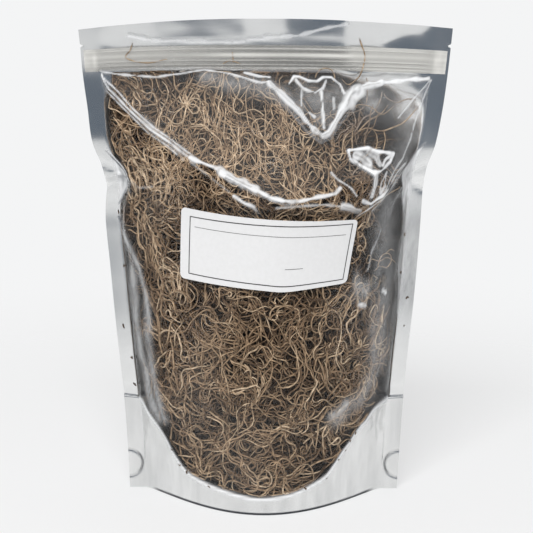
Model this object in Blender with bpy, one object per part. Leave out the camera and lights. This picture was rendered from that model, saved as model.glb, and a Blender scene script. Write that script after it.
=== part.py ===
"""A stand-up pouch of dried Spanish moss.

Three webs of film are heat-sealed into a bag: a clear front, a foil back and a foil gusset folded up between
their lower edges. A press-to-close zip runs across the top, a blank paper label lies on the front, and the moss
bunch fills the bag. The pouch stands on its lower edges, its front faces -Y, and all sizes here are millimetres.
"""

import bmesh
import bpy
import numpy as np

MM = 0.001

# The bag as it lies flat
POUCH_HALF = 105.0
SEAL_WIDTH = 9.0
GUSSET_LEAF = 55.0
FILM = 0.6
TOUCH = 0.3
LAST_ARC = 1.5
COLUMNS = 15

# The bag as it stands: height above the surface, then the measure at that height
STANDING_HEIGHT = 265.0
SEAM_HALF_WIDTH = ((0, 77.2), (52, 80), (108, 85.4), (155, 89.5), (178, 89.8), (201, 96.6), (239, 102.5), (265, 105))
FULLNESS = ((0, 0.90), (52, 0.94), (100, 1.0), (200, 1.0), (224, 0.7), (240, 0.0), (265, 0.0))
HEADER_BOW = ((0, 0), (150, 0), (240, 9), (265, 11))
HEADER_CROWN = ((0, 0), (190, 0), (246, 2.5), (265, 5))
FLARE_TOP = 70.0
FLARE_SHARE = 0.7
GUSSET_FLOOR = 6.5
LEAF_STEP = 8.0

# Zip and tear notches
ZIP_HEIGHT = 246.0
ZIP_BAND = 12.0
ZIP_HALF_LENGTH = 85.0
ZIP_STATIONS = 13
ZIP_ROOM = ((0, 0), (228, 0), (238, 1.85), (254, 1.85), (265, 2.6))
ZIP_TAPER = 8.4
NOTCH_HEIGHT = 255.2
NOTCH_HALF = 1.2
NOTCH_DEPTH = 2.5

# Label
LABEL_WIDTH = 98.0
LABEL_HEIGHT = 38.1
LABEL_CORNER = 3.0
LABEL_PAPER = 0.4
LABEL_LIFT = 0.35
LABEL_ACROSS = 1.2
LABEL_UP = 147.8
LABEL_TILT = np.radians(-3.8)

# Moss
CORE_EDGE = 0.8
CORE_DEPTH = 7.0
CORE_SEAT = 0.5
CORE_THINNEST = 1.5
CORE_NARROWING = 0.95
CORE_LUMP = 3.2
MOSS_TOP = ((-0.8, 206), (-0.6, 224), (-0.25, 228), (0.1, 222), (0.35, 206), (0.6, 178), (0.8, 130))
CURLS_A_SIDE = 64
CURL_POINTS = 8
CURL_RADIUS = 0.8
CURL_LENGTH = (40.0, 66.0)
CURL_TURN = 2.6
CURL_SUNK = 11.5
CURL_SHALLOW = (1.9, 3.4)
CURL_MARGIN = 3.5
MOSS_SEED = 23

# Colours
CLEAR_FILM = (0.80, 0.82, 0.83, 0.25)
FOIL = (0.72, 0.73, 0.74, 1.0)
LABEL_WHITE = (0.84, 0.84, 0.84, 1.0)
MOSS_BROWN = (0.20, 0.13, 0.08, 1.0)

U_SEAL = 1 - SEAL_WIDTH / POUCH_HALF
U_TAPER = U_SEAL - ZIP_TAPER / POUCH_HALF
FRONT, BACK = -1, 1


def smooth_curve(x, points):
    """A cubic curve through the points, whose slope at each is that of the line between its neighbours."""
    knots, values = np.array(points, float).T
    slopes = np.gradient(values, knots)
    slopes[1:-1] = (values[2:] - values[:-2]) / (knots[2:] - knots[:-2])
    x = np.clip(x, knots[0], knots[-1])
    i = np.clip(np.searchsorted(knots, x, side="right") - 1, 0, len(knots) - 2)
    width = knots[i + 1] - knots[i]
    t = (x - knots[i]) / width
    return (
        values[i] * (1 + 2 * t) * (1 - t) ** 2
        + values[i + 1] * t**2 * (3 - 2 * t)
        + slopes[i] * width * t * (1 - t) ** 2
        + slopes[i + 1] * width * t**2 * (t - 1)
    )


def smooth_step(low, high, x):
    """0 below low, 1 above high and an S curve between them."""
    t = np.clip((x - low) / (high - low), 0, 1)
    return t * t * (3 - 2 * t)


def arc_angle(chord):
    """Half the angle of the circular arc that is as long as the film between the seals and spans the chord."""
    angles = np.linspace(1e-3, LAST_ARC, 400)
    return np.interp((POUCH_HALF - SEAL_WIDTH) / chord, angles / np.sin(angles), angles)


def swell(u, theta):
    """How far out the film stands across its width: 1 in the middle, 0 at the seals, an arc between them."""
    phi = theta * np.clip(u / U_SEAL, -1, 1)
    return (np.cos(phi) - np.cos(theta)) / (1 - np.cos(theta))


def flared_swell(u, theta, z):
    """The arc, eased near the floor into an S curve that leaves the side seals flat."""
    wave = (1 + np.cos(np.pi * np.clip(u / U_SEAL, -1, 1))) / 2
    share = FLARE_SHARE * (1 - smooth_step(0, FLARE_TOP, z))
    return swell(u, theta) * (1 - share) + wave * share


def middle(x, z):
    """A point midway between front and back. Near the zip it bows backwards and its top edge rises."""
    bend = 1 - (x / smooth_curve(z, SEAM_HALF_WIDTH)) ** 2
    return np.stack([x, smooth_curve(z, HEADER_BOW) * bend, z + smooth_curve(z, HEADER_CROWN) * bend], -1)


def film_inside(u, z, side):
    """The inner face of the front or back film. u runs from -1 to 1 across the flat width, z is the height."""
    u, z = np.broadcast_arrays(np.asarray(u, float), np.asarray(z, float))
    chord = smooth_curve(z, SEAM_HALF_WIDTH) - SEAL_WIDTH
    theta = arc_angle(chord)
    phi = theta * np.clip(u / U_SEAL, -1, 1)
    beyond = np.maximum(np.abs(u) - U_SEAL, 0) * POUCH_HALF
    x = chord * np.sin(phi) / np.sin(theta) + np.sign(u) * beyond
    depth = chord * np.tan(theta / 2) * np.maximum(smooth_curve(z, FULLNESS), 0)
    leaves = (FILM + TOUCH) * (1 - smooth_step(GUSSET_LEAF + 1.5, GUSSET_LEAF + LEAF_STEP, z))
    zip_room = np.maximum(smooth_curve(z, ZIP_ROOM), 0) * (1 - smooth_step(U_TAPER, U_SEAL, np.abs(u)))
    out = depth * flared_swell(u, theta, z) + TOUCH / 2 + leaves + zip_room
    return middle(x, z) + side * out[..., None] * (0, 1, 0)


def film_normal(u, z, side):
    """The unit normal of a film, pointing out of the bag."""
    across = film_inside(u + 1e-3, z, side) - film_inside(u - 1e-3, z, side)
    up = film_inside(u, z + 0.1, side) - film_inside(u, z - 0.1, side)
    normal = np.cross(across, up) * -side
    return normal / np.linalg.norm(normal, axis=-1, keepdims=True)


def film_at(u, z, side, out):
    """A point that lies the distance out from the inner face of a film, at the same height."""
    level = film_normal(u, z, side) * (1, 1, 0)
    level /= np.linalg.norm(level, axis=-1, keepdims=True)
    return film_inside(u, z, side) + np.asarray(out)[..., None] * level


def make_material(name, colour, roughness, metallic=0.0):
    material = bpy.data.materials.new(name)
    material.use_nodes = True
    shader = material.node_tree.nodes["Principled BSDF"]
    shader.inputs["Base Color"].default_value = colour
    shader.inputs["Roughness"].default_value = roughness
    shader.inputs["Metallic"].default_value = metallic
    shader.inputs["Alpha"].default_value = colour[3]
    return material


def make_object(name, points, faces, material):
    """A mesh object from points in millimetres, with its faces turned outwards and shaded smooth."""
    mesh = bpy.data.meshes.new(name)
    mesh.from_pydata((np.asarray(points) * MM).tolist(), [], [list(map(int, f)) for f in faces])
    work = bmesh.new()
    work.from_mesh(mesh)
    bmesh.ops.recalc_face_normals(work, faces=work.faces)
    work.to_mesh(mesh)
    work.free()
    mesh.materials.append(material)
    mesh.shade_smooth()
    mesh.set_sharp_from_angle(angle=np.radians(40))
    obj = bpy.data.objects.new(name, mesh)
    bpy.context.scene.collection.objects.link(obj)
    return obj


def grid_triangles(rows, columns, first=0):
    """Triangles of a grid of points, all split along the same diagonal."""
    index = first + np.arange(rows * columns).reshape(rows, columns)
    a, b, c, d = index[:-1, :-1], index[:-1, 1:], index[1:, 1:], index[1:, :-1]
    return np.concatenate([np.stack([a, b, c], -1).reshape(-1, 3), np.stack([a, c, d], -1).reshape(-1, 3)])


def sheet_solid(name, near, far, material):
    """A closed sheet between two grids of points. Both faces are split alike, so that they never cross."""
    rows, columns = near.shape[:2]
    count = rows * columns
    index = np.arange(count).reshape(rows, columns)
    rim = np.concatenate([index[0, :-1], index[:-1, -1], index[-1, :0:-1], index[:0:-1, 0]])
    ahead = np.roll(rim, -1)
    faces = np.concatenate([
        grid_triangles(rows, columns),
        grid_triangles(rows, columns, count)[:, ::-1],
        np.stack([rim, rim + count, ahead + count], -1),
        np.stack([rim, ahead + count, ahead], -1),
    ])
    return make_object(name, np.concatenate([near.reshape(-1, 3), far.reshape(-1, 3)]), faces, material)


def across_columns():
    """Positions across the bag, with a column on each edge of the side seals and of the zip's taper."""
    seal = [U_SEAL, (1 + U_SEAL) / 2, 1.0]
    return np.concatenate([-np.array(seal)[::-1], np.linspace(-U_TAPER, U_TAPER, COLUMNS), seal])


def film_heights():
    """Heights of the film's rows, with rows on the gusset's fold, the zip's edges and the tear notch."""
    low, high = ZIP_HEIGHT - ZIP_BAND / 2, ZIP_HEIGHT + ZIP_BAND / 2
    return np.concatenate([
        np.linspace(0, GUSSET_LEAF + 1.5, 5),
        [GUSSET_LEAF + LEAF_STEP],
        np.linspace(GUSSET_LEAF + 24, 158, 4),
        np.linspace(169, low - 2, 7),
        [low, high, NOTCH_HEIGHT - NOTCH_HALF, NOTCH_HEIGHT, NOTCH_HEIGHT + NOTCH_HALF, STANDING_HEIGHT],
    ])


def make_film(name, side, material):
    """The front or back film, with a V notch in each side seal to start the tear."""
    u, z = np.meshgrid(across_columns(), film_heights())
    near = film_at(u, z, side, 0.0)
    far = film_at(u, z, side, FILM)
    notch = np.isclose(z, NOTCH_HEIGHT) & np.isclose(np.abs(u), 1)
    for face in (near, far):
        face[notch, 0] -= np.sign(u[notch]) * NOTCH_DEPTH
    return sheet_solid(name, near, far, material)


def gusset_height(u):
    """Height of the seal's curved edge: low in the middle, up at the gusset's fold by the side seals."""
    theta = arc_angle(SEAM_HALF_WIDTH[0][1] - SEAL_WIDTH)
    return GUSSET_LEAF - (GUSSET_LEAF - GUSSET_FLOOR) * swell(u, theta)


def make_gusset(material, bonded_rows=5, floor_rows=7):
    """The folded web: bonded to each film up to the curved edge, and level from front to back between the edges."""
    u = across_columns()[None, :]
    edge = gusset_height(u)
    share = np.linspace(0, 1, bonded_rows)[:, None]
    faces = []
    for gap, drop in ((TOUCH, 0.0), (TOUCH + FILM, FILM)):
        leaves = [film_at(u + 0 * share, share * (edge - drop), side, -gap) for side in (FRONT, BACK)]
        across = np.linspace(0, 1, floor_rows)[1:-1, None, None]
        floor = leaves[0][-1:] * (1 - across) + leaves[1][-1:] * across
        faces.append(np.concatenate([leaves[0], floor, leaves[1][::-1]]))
    return sheet_solid("gusset_film", *faces, material)


def make_zip_strip(name, outline, material):
    """A zip strip: an outline of (depth, height) points carried across the bag along its bowed header."""
    outline = np.array(outline)
    x = np.linspace(-ZIP_HALF_LENGTH, ZIP_HALF_LENGTH, ZIP_STATIONS)[:, None]
    z = ZIP_HEIGHT + outline[None, :, 1]
    rings = middle(x + 0 * z, z + 0 * x) + outline[None, :, 0, None] * (0, 1, 0)
    size = len(outline)
    base = np.arange(ZIP_STATIONS - 1)[:, None] * size
    here, beside = np.arange(size), np.roll(np.arange(size), -1)
    walls = np.stack([base + here, base + beside, base + beside + size, base + here + size], -1).reshape(-1, 4)
    ends = [np.arange(size)[::-1], np.arange(size) + (ZIP_STATIONS - 1) * size]
    return make_object(name, rings.reshape(-1, 3), [*walls, *ends], material)


def make_zip(material):
    """The two halves of the zip: a rib with a head, and a channel whose lips hold it."""
    half = ZIP_BAND / 2
    rib = [(-1.7, -half), (-1.7, half), (-1.1, half), (-1.1, 0.45), (-0.1, 0.45), (-0.1, 0.9)]
    rib += [(0.6, 0.9), (0.6, -0.9), (-0.1, -0.9), (-0.1, -0.45), (-1.1, -0.45), (-1.1, -half)]
    lip = [(1.7, half), (1.1, half), (1.1, 2.0), (-0.8, 2.0), (-0.8, 0.75), (-0.4, 0.75), (-0.4, 1.2), (1.1, 1.2)]
    channel = lip + [(depth, -height) for depth, height in reversed(lip)]
    make_zip_strip("zip_rib_strip", rib, material)
    make_zip_strip("zip_channel_strip", channel, material)


def make_label(material, across=15, up=6):
    """The paper label, wrapped on the front film, with round corners and a slight tilt."""
    half_w, half_h = LABEL_WIDTH / 2, LABEL_HEIGHT / 2
    ends = half_w - LABEL_CORNER * (1 - np.cos(np.radians([0, 30, 60, 90])))
    s = np.concatenate([-ends, np.linspace(-ends[-1], ends[-1], across)[1:-1], ends[::-1]])
    into_corner = np.maximum(np.abs(s) - (half_w - LABEL_CORNER), 0)
    reach = half_h - LABEL_CORNER + np.sqrt(LABEL_CORNER**2 - into_corner**2)
    t = np.linspace(-1, 1, up)[:, None] * reach[None, :]
    s = s[None, :] + 0 * t
    u = (LABEL_ACROSS + s * np.cos(LABEL_TILT) - t * np.sin(LABEL_TILT)) / POUCH_HALF
    z = LABEL_UP + s * np.sin(LABEL_TILT) + t * np.cos(LABEL_TILT)
    near = film_at(u, z, FRONT, FILM + LABEL_LIFT)
    far = film_at(u, z, FRONT, FILM + LABEL_LIFT + LABEL_PAPER)
    return sheet_solid("label", near, far, material)


def make_core(rng, material, columns=15, rows=15):
    """The dense middle of the bunch: it follows the bag from inside, sits on the gusset and is lumpy all over."""
    u = np.linspace(-CORE_EDGE, CORE_EDGE, columns)[None, :]
    level = np.linspace(0, 1, rows)[:, None]
    low = gusset_height(u) + CORE_SEAT
    z = low + level * (smooth_curve(u, MOSS_TOP) - low)
    u = u + 0 * z
    sides = []
    for side in (FRONT, BACK):
        lumps = CORE_LUMP * rng.uniform(-1, 1, z.shape) * smooth_step(0, 0.15, level)
        points = film_inside(u, z, side)
        centre = middle(points[..., 0], z)
        half = np.maximum(np.abs(points[..., 1] - centre[..., 1]) - CORE_DEPTH + lumps, CORE_THINNEST)
        sides.append(centre * (CORE_NARROWING, 1, 1) + side * half[..., None] * (0, 1, 0))
    return sheet_solid("moss_bunch", *sides, material)


def curl_path(rng, side):
    """One curl: it wanders over the bunch near the film, and dives into the core at both ends."""
    along = np.linspace(0, 1, CURL_POINTS)
    length = rng.uniform(*CURL_LENGTH)
    heading = rng.uniform(0, 2 * np.pi) + CURL_TURN * rng.uniform(-1, 1) * along
    heading += rng.uniform(0.4, 1.1) * np.sin(rng.uniform(3, 7) * along + rng.uniform(0, 6))
    start_u = rng.uniform(-CORE_EDGE, CORE_EDGE)
    start_z = rng.uniform(gusset_height(start_u) + 8, smooth_curve(start_u, MOSS_TOP))
    s = start_u * POUCH_HALF + np.cumsum(np.cos(heading)) * length / CURL_POINTS
    z = start_z + np.cumsum(np.sin(heading)) * length / CURL_POINTS
    dive = np.abs(2 * along - 1) ** 3
    reach = CURL_MARGIN * (1 - 2 * dive)
    edge = CORE_EDGE + reach / POUCH_HALF
    u = np.clip(s / POUCH_HALF, -edge, edge)
    z = np.clip(z, gusset_height(u) + CURL_MARGIN, smooth_curve(u, MOSS_TOP) + reach)
    shallow = rng.uniform(*CURL_SHALLOW)
    depth = shallow + (CURL_SUNK - shallow) * dive
    return film_at(u, z, side, -depth), film_normal(u, z, side)


def curl_object(name, path, normals, material):
    """A three-sided tube along a curl, thinner towards its ends."""
    ahead = np.gradient(path, axis=0)
    ahead /= np.linalg.norm(ahead, axis=1, keepdims=True)
    side = np.cross(ahead, normals)
    side /= np.linalg.norm(side, axis=1, keepdims=True)
    lift = np.cross(side, ahead)
    angles = np.radians([90, 210, 330])[None, :, None]
    radius = CURL_RADIUS * np.interp(np.arange(len(path)), [0, 2, len(path) - 3, len(path) - 1], [0.8, 1, 1, 0.7])
    ring = np.cos(angles) * side[:, None] + np.sin(angles) * lift[:, None]
    points = (path[:, None] + radius[:, None, None] * ring).reshape(-1, 3)
    base = np.arange(len(path) - 1)[:, None] * 3
    here, beside = np.arange(3), np.roll(np.arange(3), -1)
    walls = [
        np.stack([base + here, base + beside, base + beside + 3], -1).reshape(-1, 3),
        np.stack([base + here, base + beside + 3, base + here + 3], -1).reshape(-1, 3),
    ]
    ends = [[2, 1, 0], [len(points) - 3, len(points) - 2, len(points) - 1]]
    return make_object(name, points, np.concatenate([*walls, ends]), material)


def keep_largest_body(mesh):
    """Remove the scraps and the sealed hollows a union leaves, so that one body stays."""
    work = bmesh.new()
    work.from_mesh(mesh)
    bodies = []
    unseen = set(work.verts)
    while unseen:
        found = [unseen.pop()]
        for vertex in found:
            linked = {edge.other_vert(vertex) for edge in vertex.link_edges} & unseen
            unseen -= linked
            found += linked
        bodies.append(found)
    bodies.sort(key=len)
    for body in bodies[:-1]:
        bmesh.ops.delete(work, geom=body, context="VERTS")
    work.to_mesh(mesh)
    work.free()


def make_moss(material):
    """The bunch in one node: its core and the curls that stand out of it, joined in one solid."""
    rng = np.random.default_rng(MOSS_SEED)
    core = make_core(rng, material)
    curls = bpy.data.collections.new("curls")
    bpy.context.scene.collection.children.link(curls)
    for side in (FRONT, BACK):
        for number in range(CURLS_A_SIDE):
            curl = curl_object(f"curl_{number}", *curl_path(rng, side), material)
            bpy.context.scene.collection.objects.unlink(curl)
            curls.objects.link(curl)
    join = core.modifiers.new("join", "BOOLEAN")
    join.operand_type = "COLLECTION"
    join.collection = curls
    join.operation = "UNION"
    join.solver = "MANIFOLD"
    bpy.context.view_layer.update()
    joined = bpy.data.meshes.new_from_object(core.evaluated_get(bpy.context.evaluated_depsgraph_get()))
    core.modifiers.clear()
    keep_largest_body(joined)
    joined.set_sharp_from_angle(angle=np.radians(30))
    core.data = joined
    for curl in list(curls.objects):
        bpy.data.objects.remove(curl)
    bpy.data.collections.remove(curls)
    return core


def main():
    for obj in list(bpy.data.objects):
        bpy.data.objects.remove(obj)
    clear = make_material("clear_film", CLEAR_FILM, 0.08)
    foil = make_material("foil", FOIL, 0.3, metallic=1.0)
    paper = make_material("label_paper", LABEL_WHITE, 0.5)
    moss = make_material("dried_moss", MOSS_BROWN, 0.85)
    make_film("front_film", FRONT, clear)
    make_film("back_film", BACK, foil)
    make_gusset(foil)
    make_zip(clear)
    make_label(paper)
    make_moss(moss)


main()
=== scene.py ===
# %% [markdown]
# # A stand-up pouch of dried moss
# The solids of the pouch are already packed: three webs of film, two zip strips, a label and the bunch of
# moss. This lesson dresses them. Every visible surface is worked out with numpy as a grid of points and put
# into a mesh, so that the film can crease, the foil can ripple and the moss can be thousands of separate
# curled strands.

import bpy
import numpy as np
from mathutils import Matrix


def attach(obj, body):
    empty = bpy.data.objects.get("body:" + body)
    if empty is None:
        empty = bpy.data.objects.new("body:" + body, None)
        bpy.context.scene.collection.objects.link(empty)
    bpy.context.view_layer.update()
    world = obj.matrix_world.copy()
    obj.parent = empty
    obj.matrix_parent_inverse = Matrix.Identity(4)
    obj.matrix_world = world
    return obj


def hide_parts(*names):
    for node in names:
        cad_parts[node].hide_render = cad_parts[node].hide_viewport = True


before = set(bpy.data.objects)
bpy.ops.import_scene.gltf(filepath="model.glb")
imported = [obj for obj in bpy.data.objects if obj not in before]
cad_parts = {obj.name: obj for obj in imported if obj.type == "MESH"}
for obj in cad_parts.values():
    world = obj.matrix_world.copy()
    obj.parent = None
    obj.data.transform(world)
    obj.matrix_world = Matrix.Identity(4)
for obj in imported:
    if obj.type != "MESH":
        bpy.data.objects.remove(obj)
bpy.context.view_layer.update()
print("nodes:", sorted(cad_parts))

# %% [markdown]
# ## The bag as a function of two numbers
# A filled pouch is narrower than a flat one, because its film cannot stretch: it has to bow out. So one
# section of the film is an arc that is always as long as the flat film is wide. `u` runs from -1 to 1
# across the flat film and `z` is the height in millimetres. Where the seams are, how full the bag is and
# how far the header leans back are short tables of (height, value) pairs, joined by a smooth curve.

# %% Sizes of the bag, in millimetres
MM = 0.001
POUCH_HALF = 105.0
SEAL_WIDTH = 9.0
GUSSET_LEAF = 55.0
TOP = 265.0
U_SEAL = 1 - SEAL_WIDTH / POUCH_HALF
FRONT, BACK = -1, 1
# The gap between two webs where they are sealed, and the room that the gusset's leaf takes below its fold
SEAL_GAP = 0.3
LEAF_ROOM = 0.9
# Near the floor the section is mostly a raised cosine, and between these heights it turns into an arc
FLARE_SHARE = 0.95
FLARE_LOW, FLARE_HIGH = 8, 76
# How much lower the header's left corner hangs
LEFT_DROP = 1.6

LEFT_SEAM = ((0, 77.2), (25, 78.3), (52, 80.1), (80, 82.9), (108, 85.8), (130, 87.9), (155, 90.4),
             (166, 90.3), (176, 89.6), (187, 92.0), (201, 97.2), (220, 100), (239, 102.8), (255, 104.1),
             (265, 105))
RIGHT_SEAM = ((0, 77.2), (25, 78.5), (52, 80.0), (80, 82.1), (108, 84.9), (130, 86.7), (155, 88.3),
              (166, 88.9), (176, 89.5), (187, 91.1), (201, 95.8), (220, 99.6), (239, 102.3), (255, 104),
              (265, 105))
FULLNESS = ((0, 0.9), (52, 0.94), (100, 1.0), (200, 1.0), (224, 0.7), (240, 0.0), (265, 0.0))
HEADER_BOW = ((0, 0), (150, 0), (240, 9), (265, 11))
HEADER_CROWN = ((0, 0), (190, 0), (246, 2.5), (265, 5))
SEAM_LEAN_LEFT = ((0, 0), (60, 0), (90, 0.6), (120, 3.6), (150, 7.0), (164, 8.0), (178, 5.6), (190, 4.0),
                  (204, 3.8), (222, 7.6), (240, 10.8), (265, 11.2))
SEAM_LEAN_RIGHT = ((0, 0), (50, 0), (90, 0.5), (130, 3.5), (150, 4.5), (176, 5.8), (188, 3.4), (200, 2.9),
                   (240, 9.5), (265, 13.0))
ZIP_ROOM = ((0, 0), (228, 0), (238, 1.85), (254, 1.85), (265, 0.9))


# %% Curves through a few points
def smooth_curve(x, points):
    """A cubic through the points, whose slope at each is that of the line between its neighbours."""
    knots, values = np.array(points, float).T
    slopes = np.gradient(values, knots)
    slopes[1:-1] = (values[2:] - values[:-2]) / (knots[2:] - knots[:-2])
    x = np.clip(x, knots[0], knots[-1])
    i = np.clip(np.searchsorted(knots, x, side="right") - 1, 0, len(knots) - 2)
    width = knots[i + 1] - knots[i]
    t = (x - knots[i]) / width
    return (values[i] * (1 + 2 * t) * (1 - t) ** 2 + values[i + 1] * t**2 * (3 - 2 * t)
            + slopes[i] * width * t * (1 - t) ** 2 + slopes[i + 1] * width * t**2 * (t - 1))


def smooth_step(low, high, x):
    """0 below low, 1 above high, and three t squared less two t cubed between them."""
    t = np.clip((x - low) / (high - low), 0, 1)
    return t * t * (3 - 2 * t)


# %% The film's section and the whole film
def arc_angle(chord):
    """Half the angle of the film's arc over the chord: the angle whose ratio to its sine fits."""
    angles = np.linspace(1e-3, 1.5, 400)
    return np.interp((POUCH_HALF - SEAL_WIDTH) / chord, angles / np.sin(angles), angles)


def swell(u, theta):
    """How far out an arc stands: its cosine less the end's cosine, scaled to 1 in the middle."""
    phi = theta * np.clip(u / U_SEAL, -1, 1)
    return (np.cos(phi) - np.cos(theta)) / (1 - np.cos(theta))


def flared_swell(u, theta, z):
    """The arc, mixed near the floor with a raised cosine, which leaves the seals flat in an S curve."""
    wave = (1 + np.cos(np.pi * np.clip(u / U_SEAL, -1, 1))) / 2
    share = FLARE_SHARE * (1 - smooth_step(FLARE_LOW, FLARE_HIGH, z))
    return swell(u, theta) * (1 - share) + wave * share


def seam_half_width(u, z):
    """Distance of the left or the right seam's outer edge from the middle."""
    return np.where(u < 0, smooth_curve(z, LEFT_SEAM), smooth_curve(z, RIGHT_SEAM))


def film(u, z, side):
    """A film's smooth surface: an arc between the seals, the header's backward bow and the seams' lean."""
    u, z = np.broadcast_arrays(np.asarray(u, float), np.asarray(z, float))
    half = seam_half_width(u, z)
    chord = half - SEAL_WIDTH
    theta = arc_angle(chord)
    beyond = np.maximum(np.abs(u) - U_SEAL, 0) * POUCH_HALF
    x = chord * np.sin(theta * np.clip(u / U_SEAL, -1, 1)) / np.sin(theta) + np.sign(u) * beyond
    mean = (smooth_curve(z, LEFT_SEAM) + smooth_curve(z, RIGHT_SEAM)) / 2 - SEAL_WIDTH
    depth = mean * np.tan(arc_angle(mean) / 2) * np.maximum(smooth_curve(z, FULLNESS), 0)
    leaf_room = LEAF_ROOM * (1 - smooth_step(GUSSET_LEAF, GUSSET_LEAF + 8, z))
    zip_end = 1 - smooth_step(U_SEAL - 0.08, U_SEAL, np.abs(u))
    zip_room = np.maximum(smooth_curve(z, ZIP_ROOM), 0) * zip_end
    out = depth * flared_swell(u, theta, z) + SEAL_GAP / 2 + leaf_room + zip_room
    bow = 1 - (x / half) ** 2
    lean = np.where(u < 0, smooth_curve(z, SEAM_LEAN_LEFT), smooth_curve(z, SEAM_LEAN_RIGHT))
    y = smooth_curve(z, HEADER_BOW) * bow + lean * (1 - bow) + side * out
    drop = LEFT_DROP * smooth_step(245, 265, z) * (1 - bow) * (u < 0)
    return np.stack([x, y, z + smooth_curve(z, HEADER_CROWN) * bow - drop], -1)


def unit(v):
    """Each vector divided by its own length."""
    return v / np.maximum(np.linalg.norm(v, axis=-1, keepdims=True), 1e-9)


def film_normal(u, z, side):
    """The cross product of the film's two directions, turned to point out of the bag."""
    across = film(u + 1e-3, z, side) - film(u - 1e-3, z, side)
    up = film(u, z + 0.2, side) - film(u, z - 0.2, side)
    return unit(np.cross(across, up) * -side)


def lifted(u, z, side, lift):
    """A point of the smooth film, moved out of the bag along its normal."""
    return film(u, z, side) + lift[..., None] * film_normal(u, z, side)


print("front at half height:", film(0.0, 130.0, FRONT).round(1), "mm")

# %% [markdown]
# ## Creases
# Film folds along lines, not in soft waves. A crease here is a line on the film and a height that falls
# away from it exponentially, so its top is sharp and catches some of the lamps' light. The bright thread
# along each placed crease is a painted highlight on the film. The big ones are placed where such a bag
# folds: out of the zip's corners, in a V under the zip and in a band across the shoulder. Many short ones
# and a few soft waves are drawn from a seeded generator.


# %% Creases and soft waves
def line_distance(s, z, points):
    """Distance to the nearest of the straight pieces between the points."""
    best = np.full(np.shape(s), 1e9)
    for (s0, z0), (s1, z1) in zip(points[:-1], points[1:]):
        ds, dz = s1 - s0, z1 - z0
        t = np.clip(((s - s0) * ds + (z - z0) * dz) / (ds * ds + dz * dz), 0, 1)
        best = np.minimum(best, np.hypot(s - s0 - t * ds, z - z0 - t * dz))
    return best


def ridge(distance, width, sharp=0.45):
    """1 on the line and an exponential fall beside it, rounded over the sharp distance."""
    return np.exp(-(np.sqrt(distance**2 + sharp**2) - sharp) / width)


def bell(distance, width):
    """1 on the line and a bell curve beside it: e to the minus square of distance over width."""
    return np.exp(-((distance / width) ** 2))


def soft_waves(s, z, seed, size, count=9):
    """A sum of sine waves of random direction and phase, about size millimetres long, scaled to about 1."""
    rng = np.random.default_rng(seed)
    total = np.zeros(np.broadcast(s, z).shape)
    for angle, phase, scale in zip(rng.uniform(0, np.pi, count), rng.uniform(0, 6.28, count),
                                   rng.uniform(0.7, 1.5, count)):
        k = 2 * np.pi / (size * scale)
        total += np.sin(k * (s * np.cos(angle) + z * np.sin(angle)) + phase)
    return total / np.sqrt(count)
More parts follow.
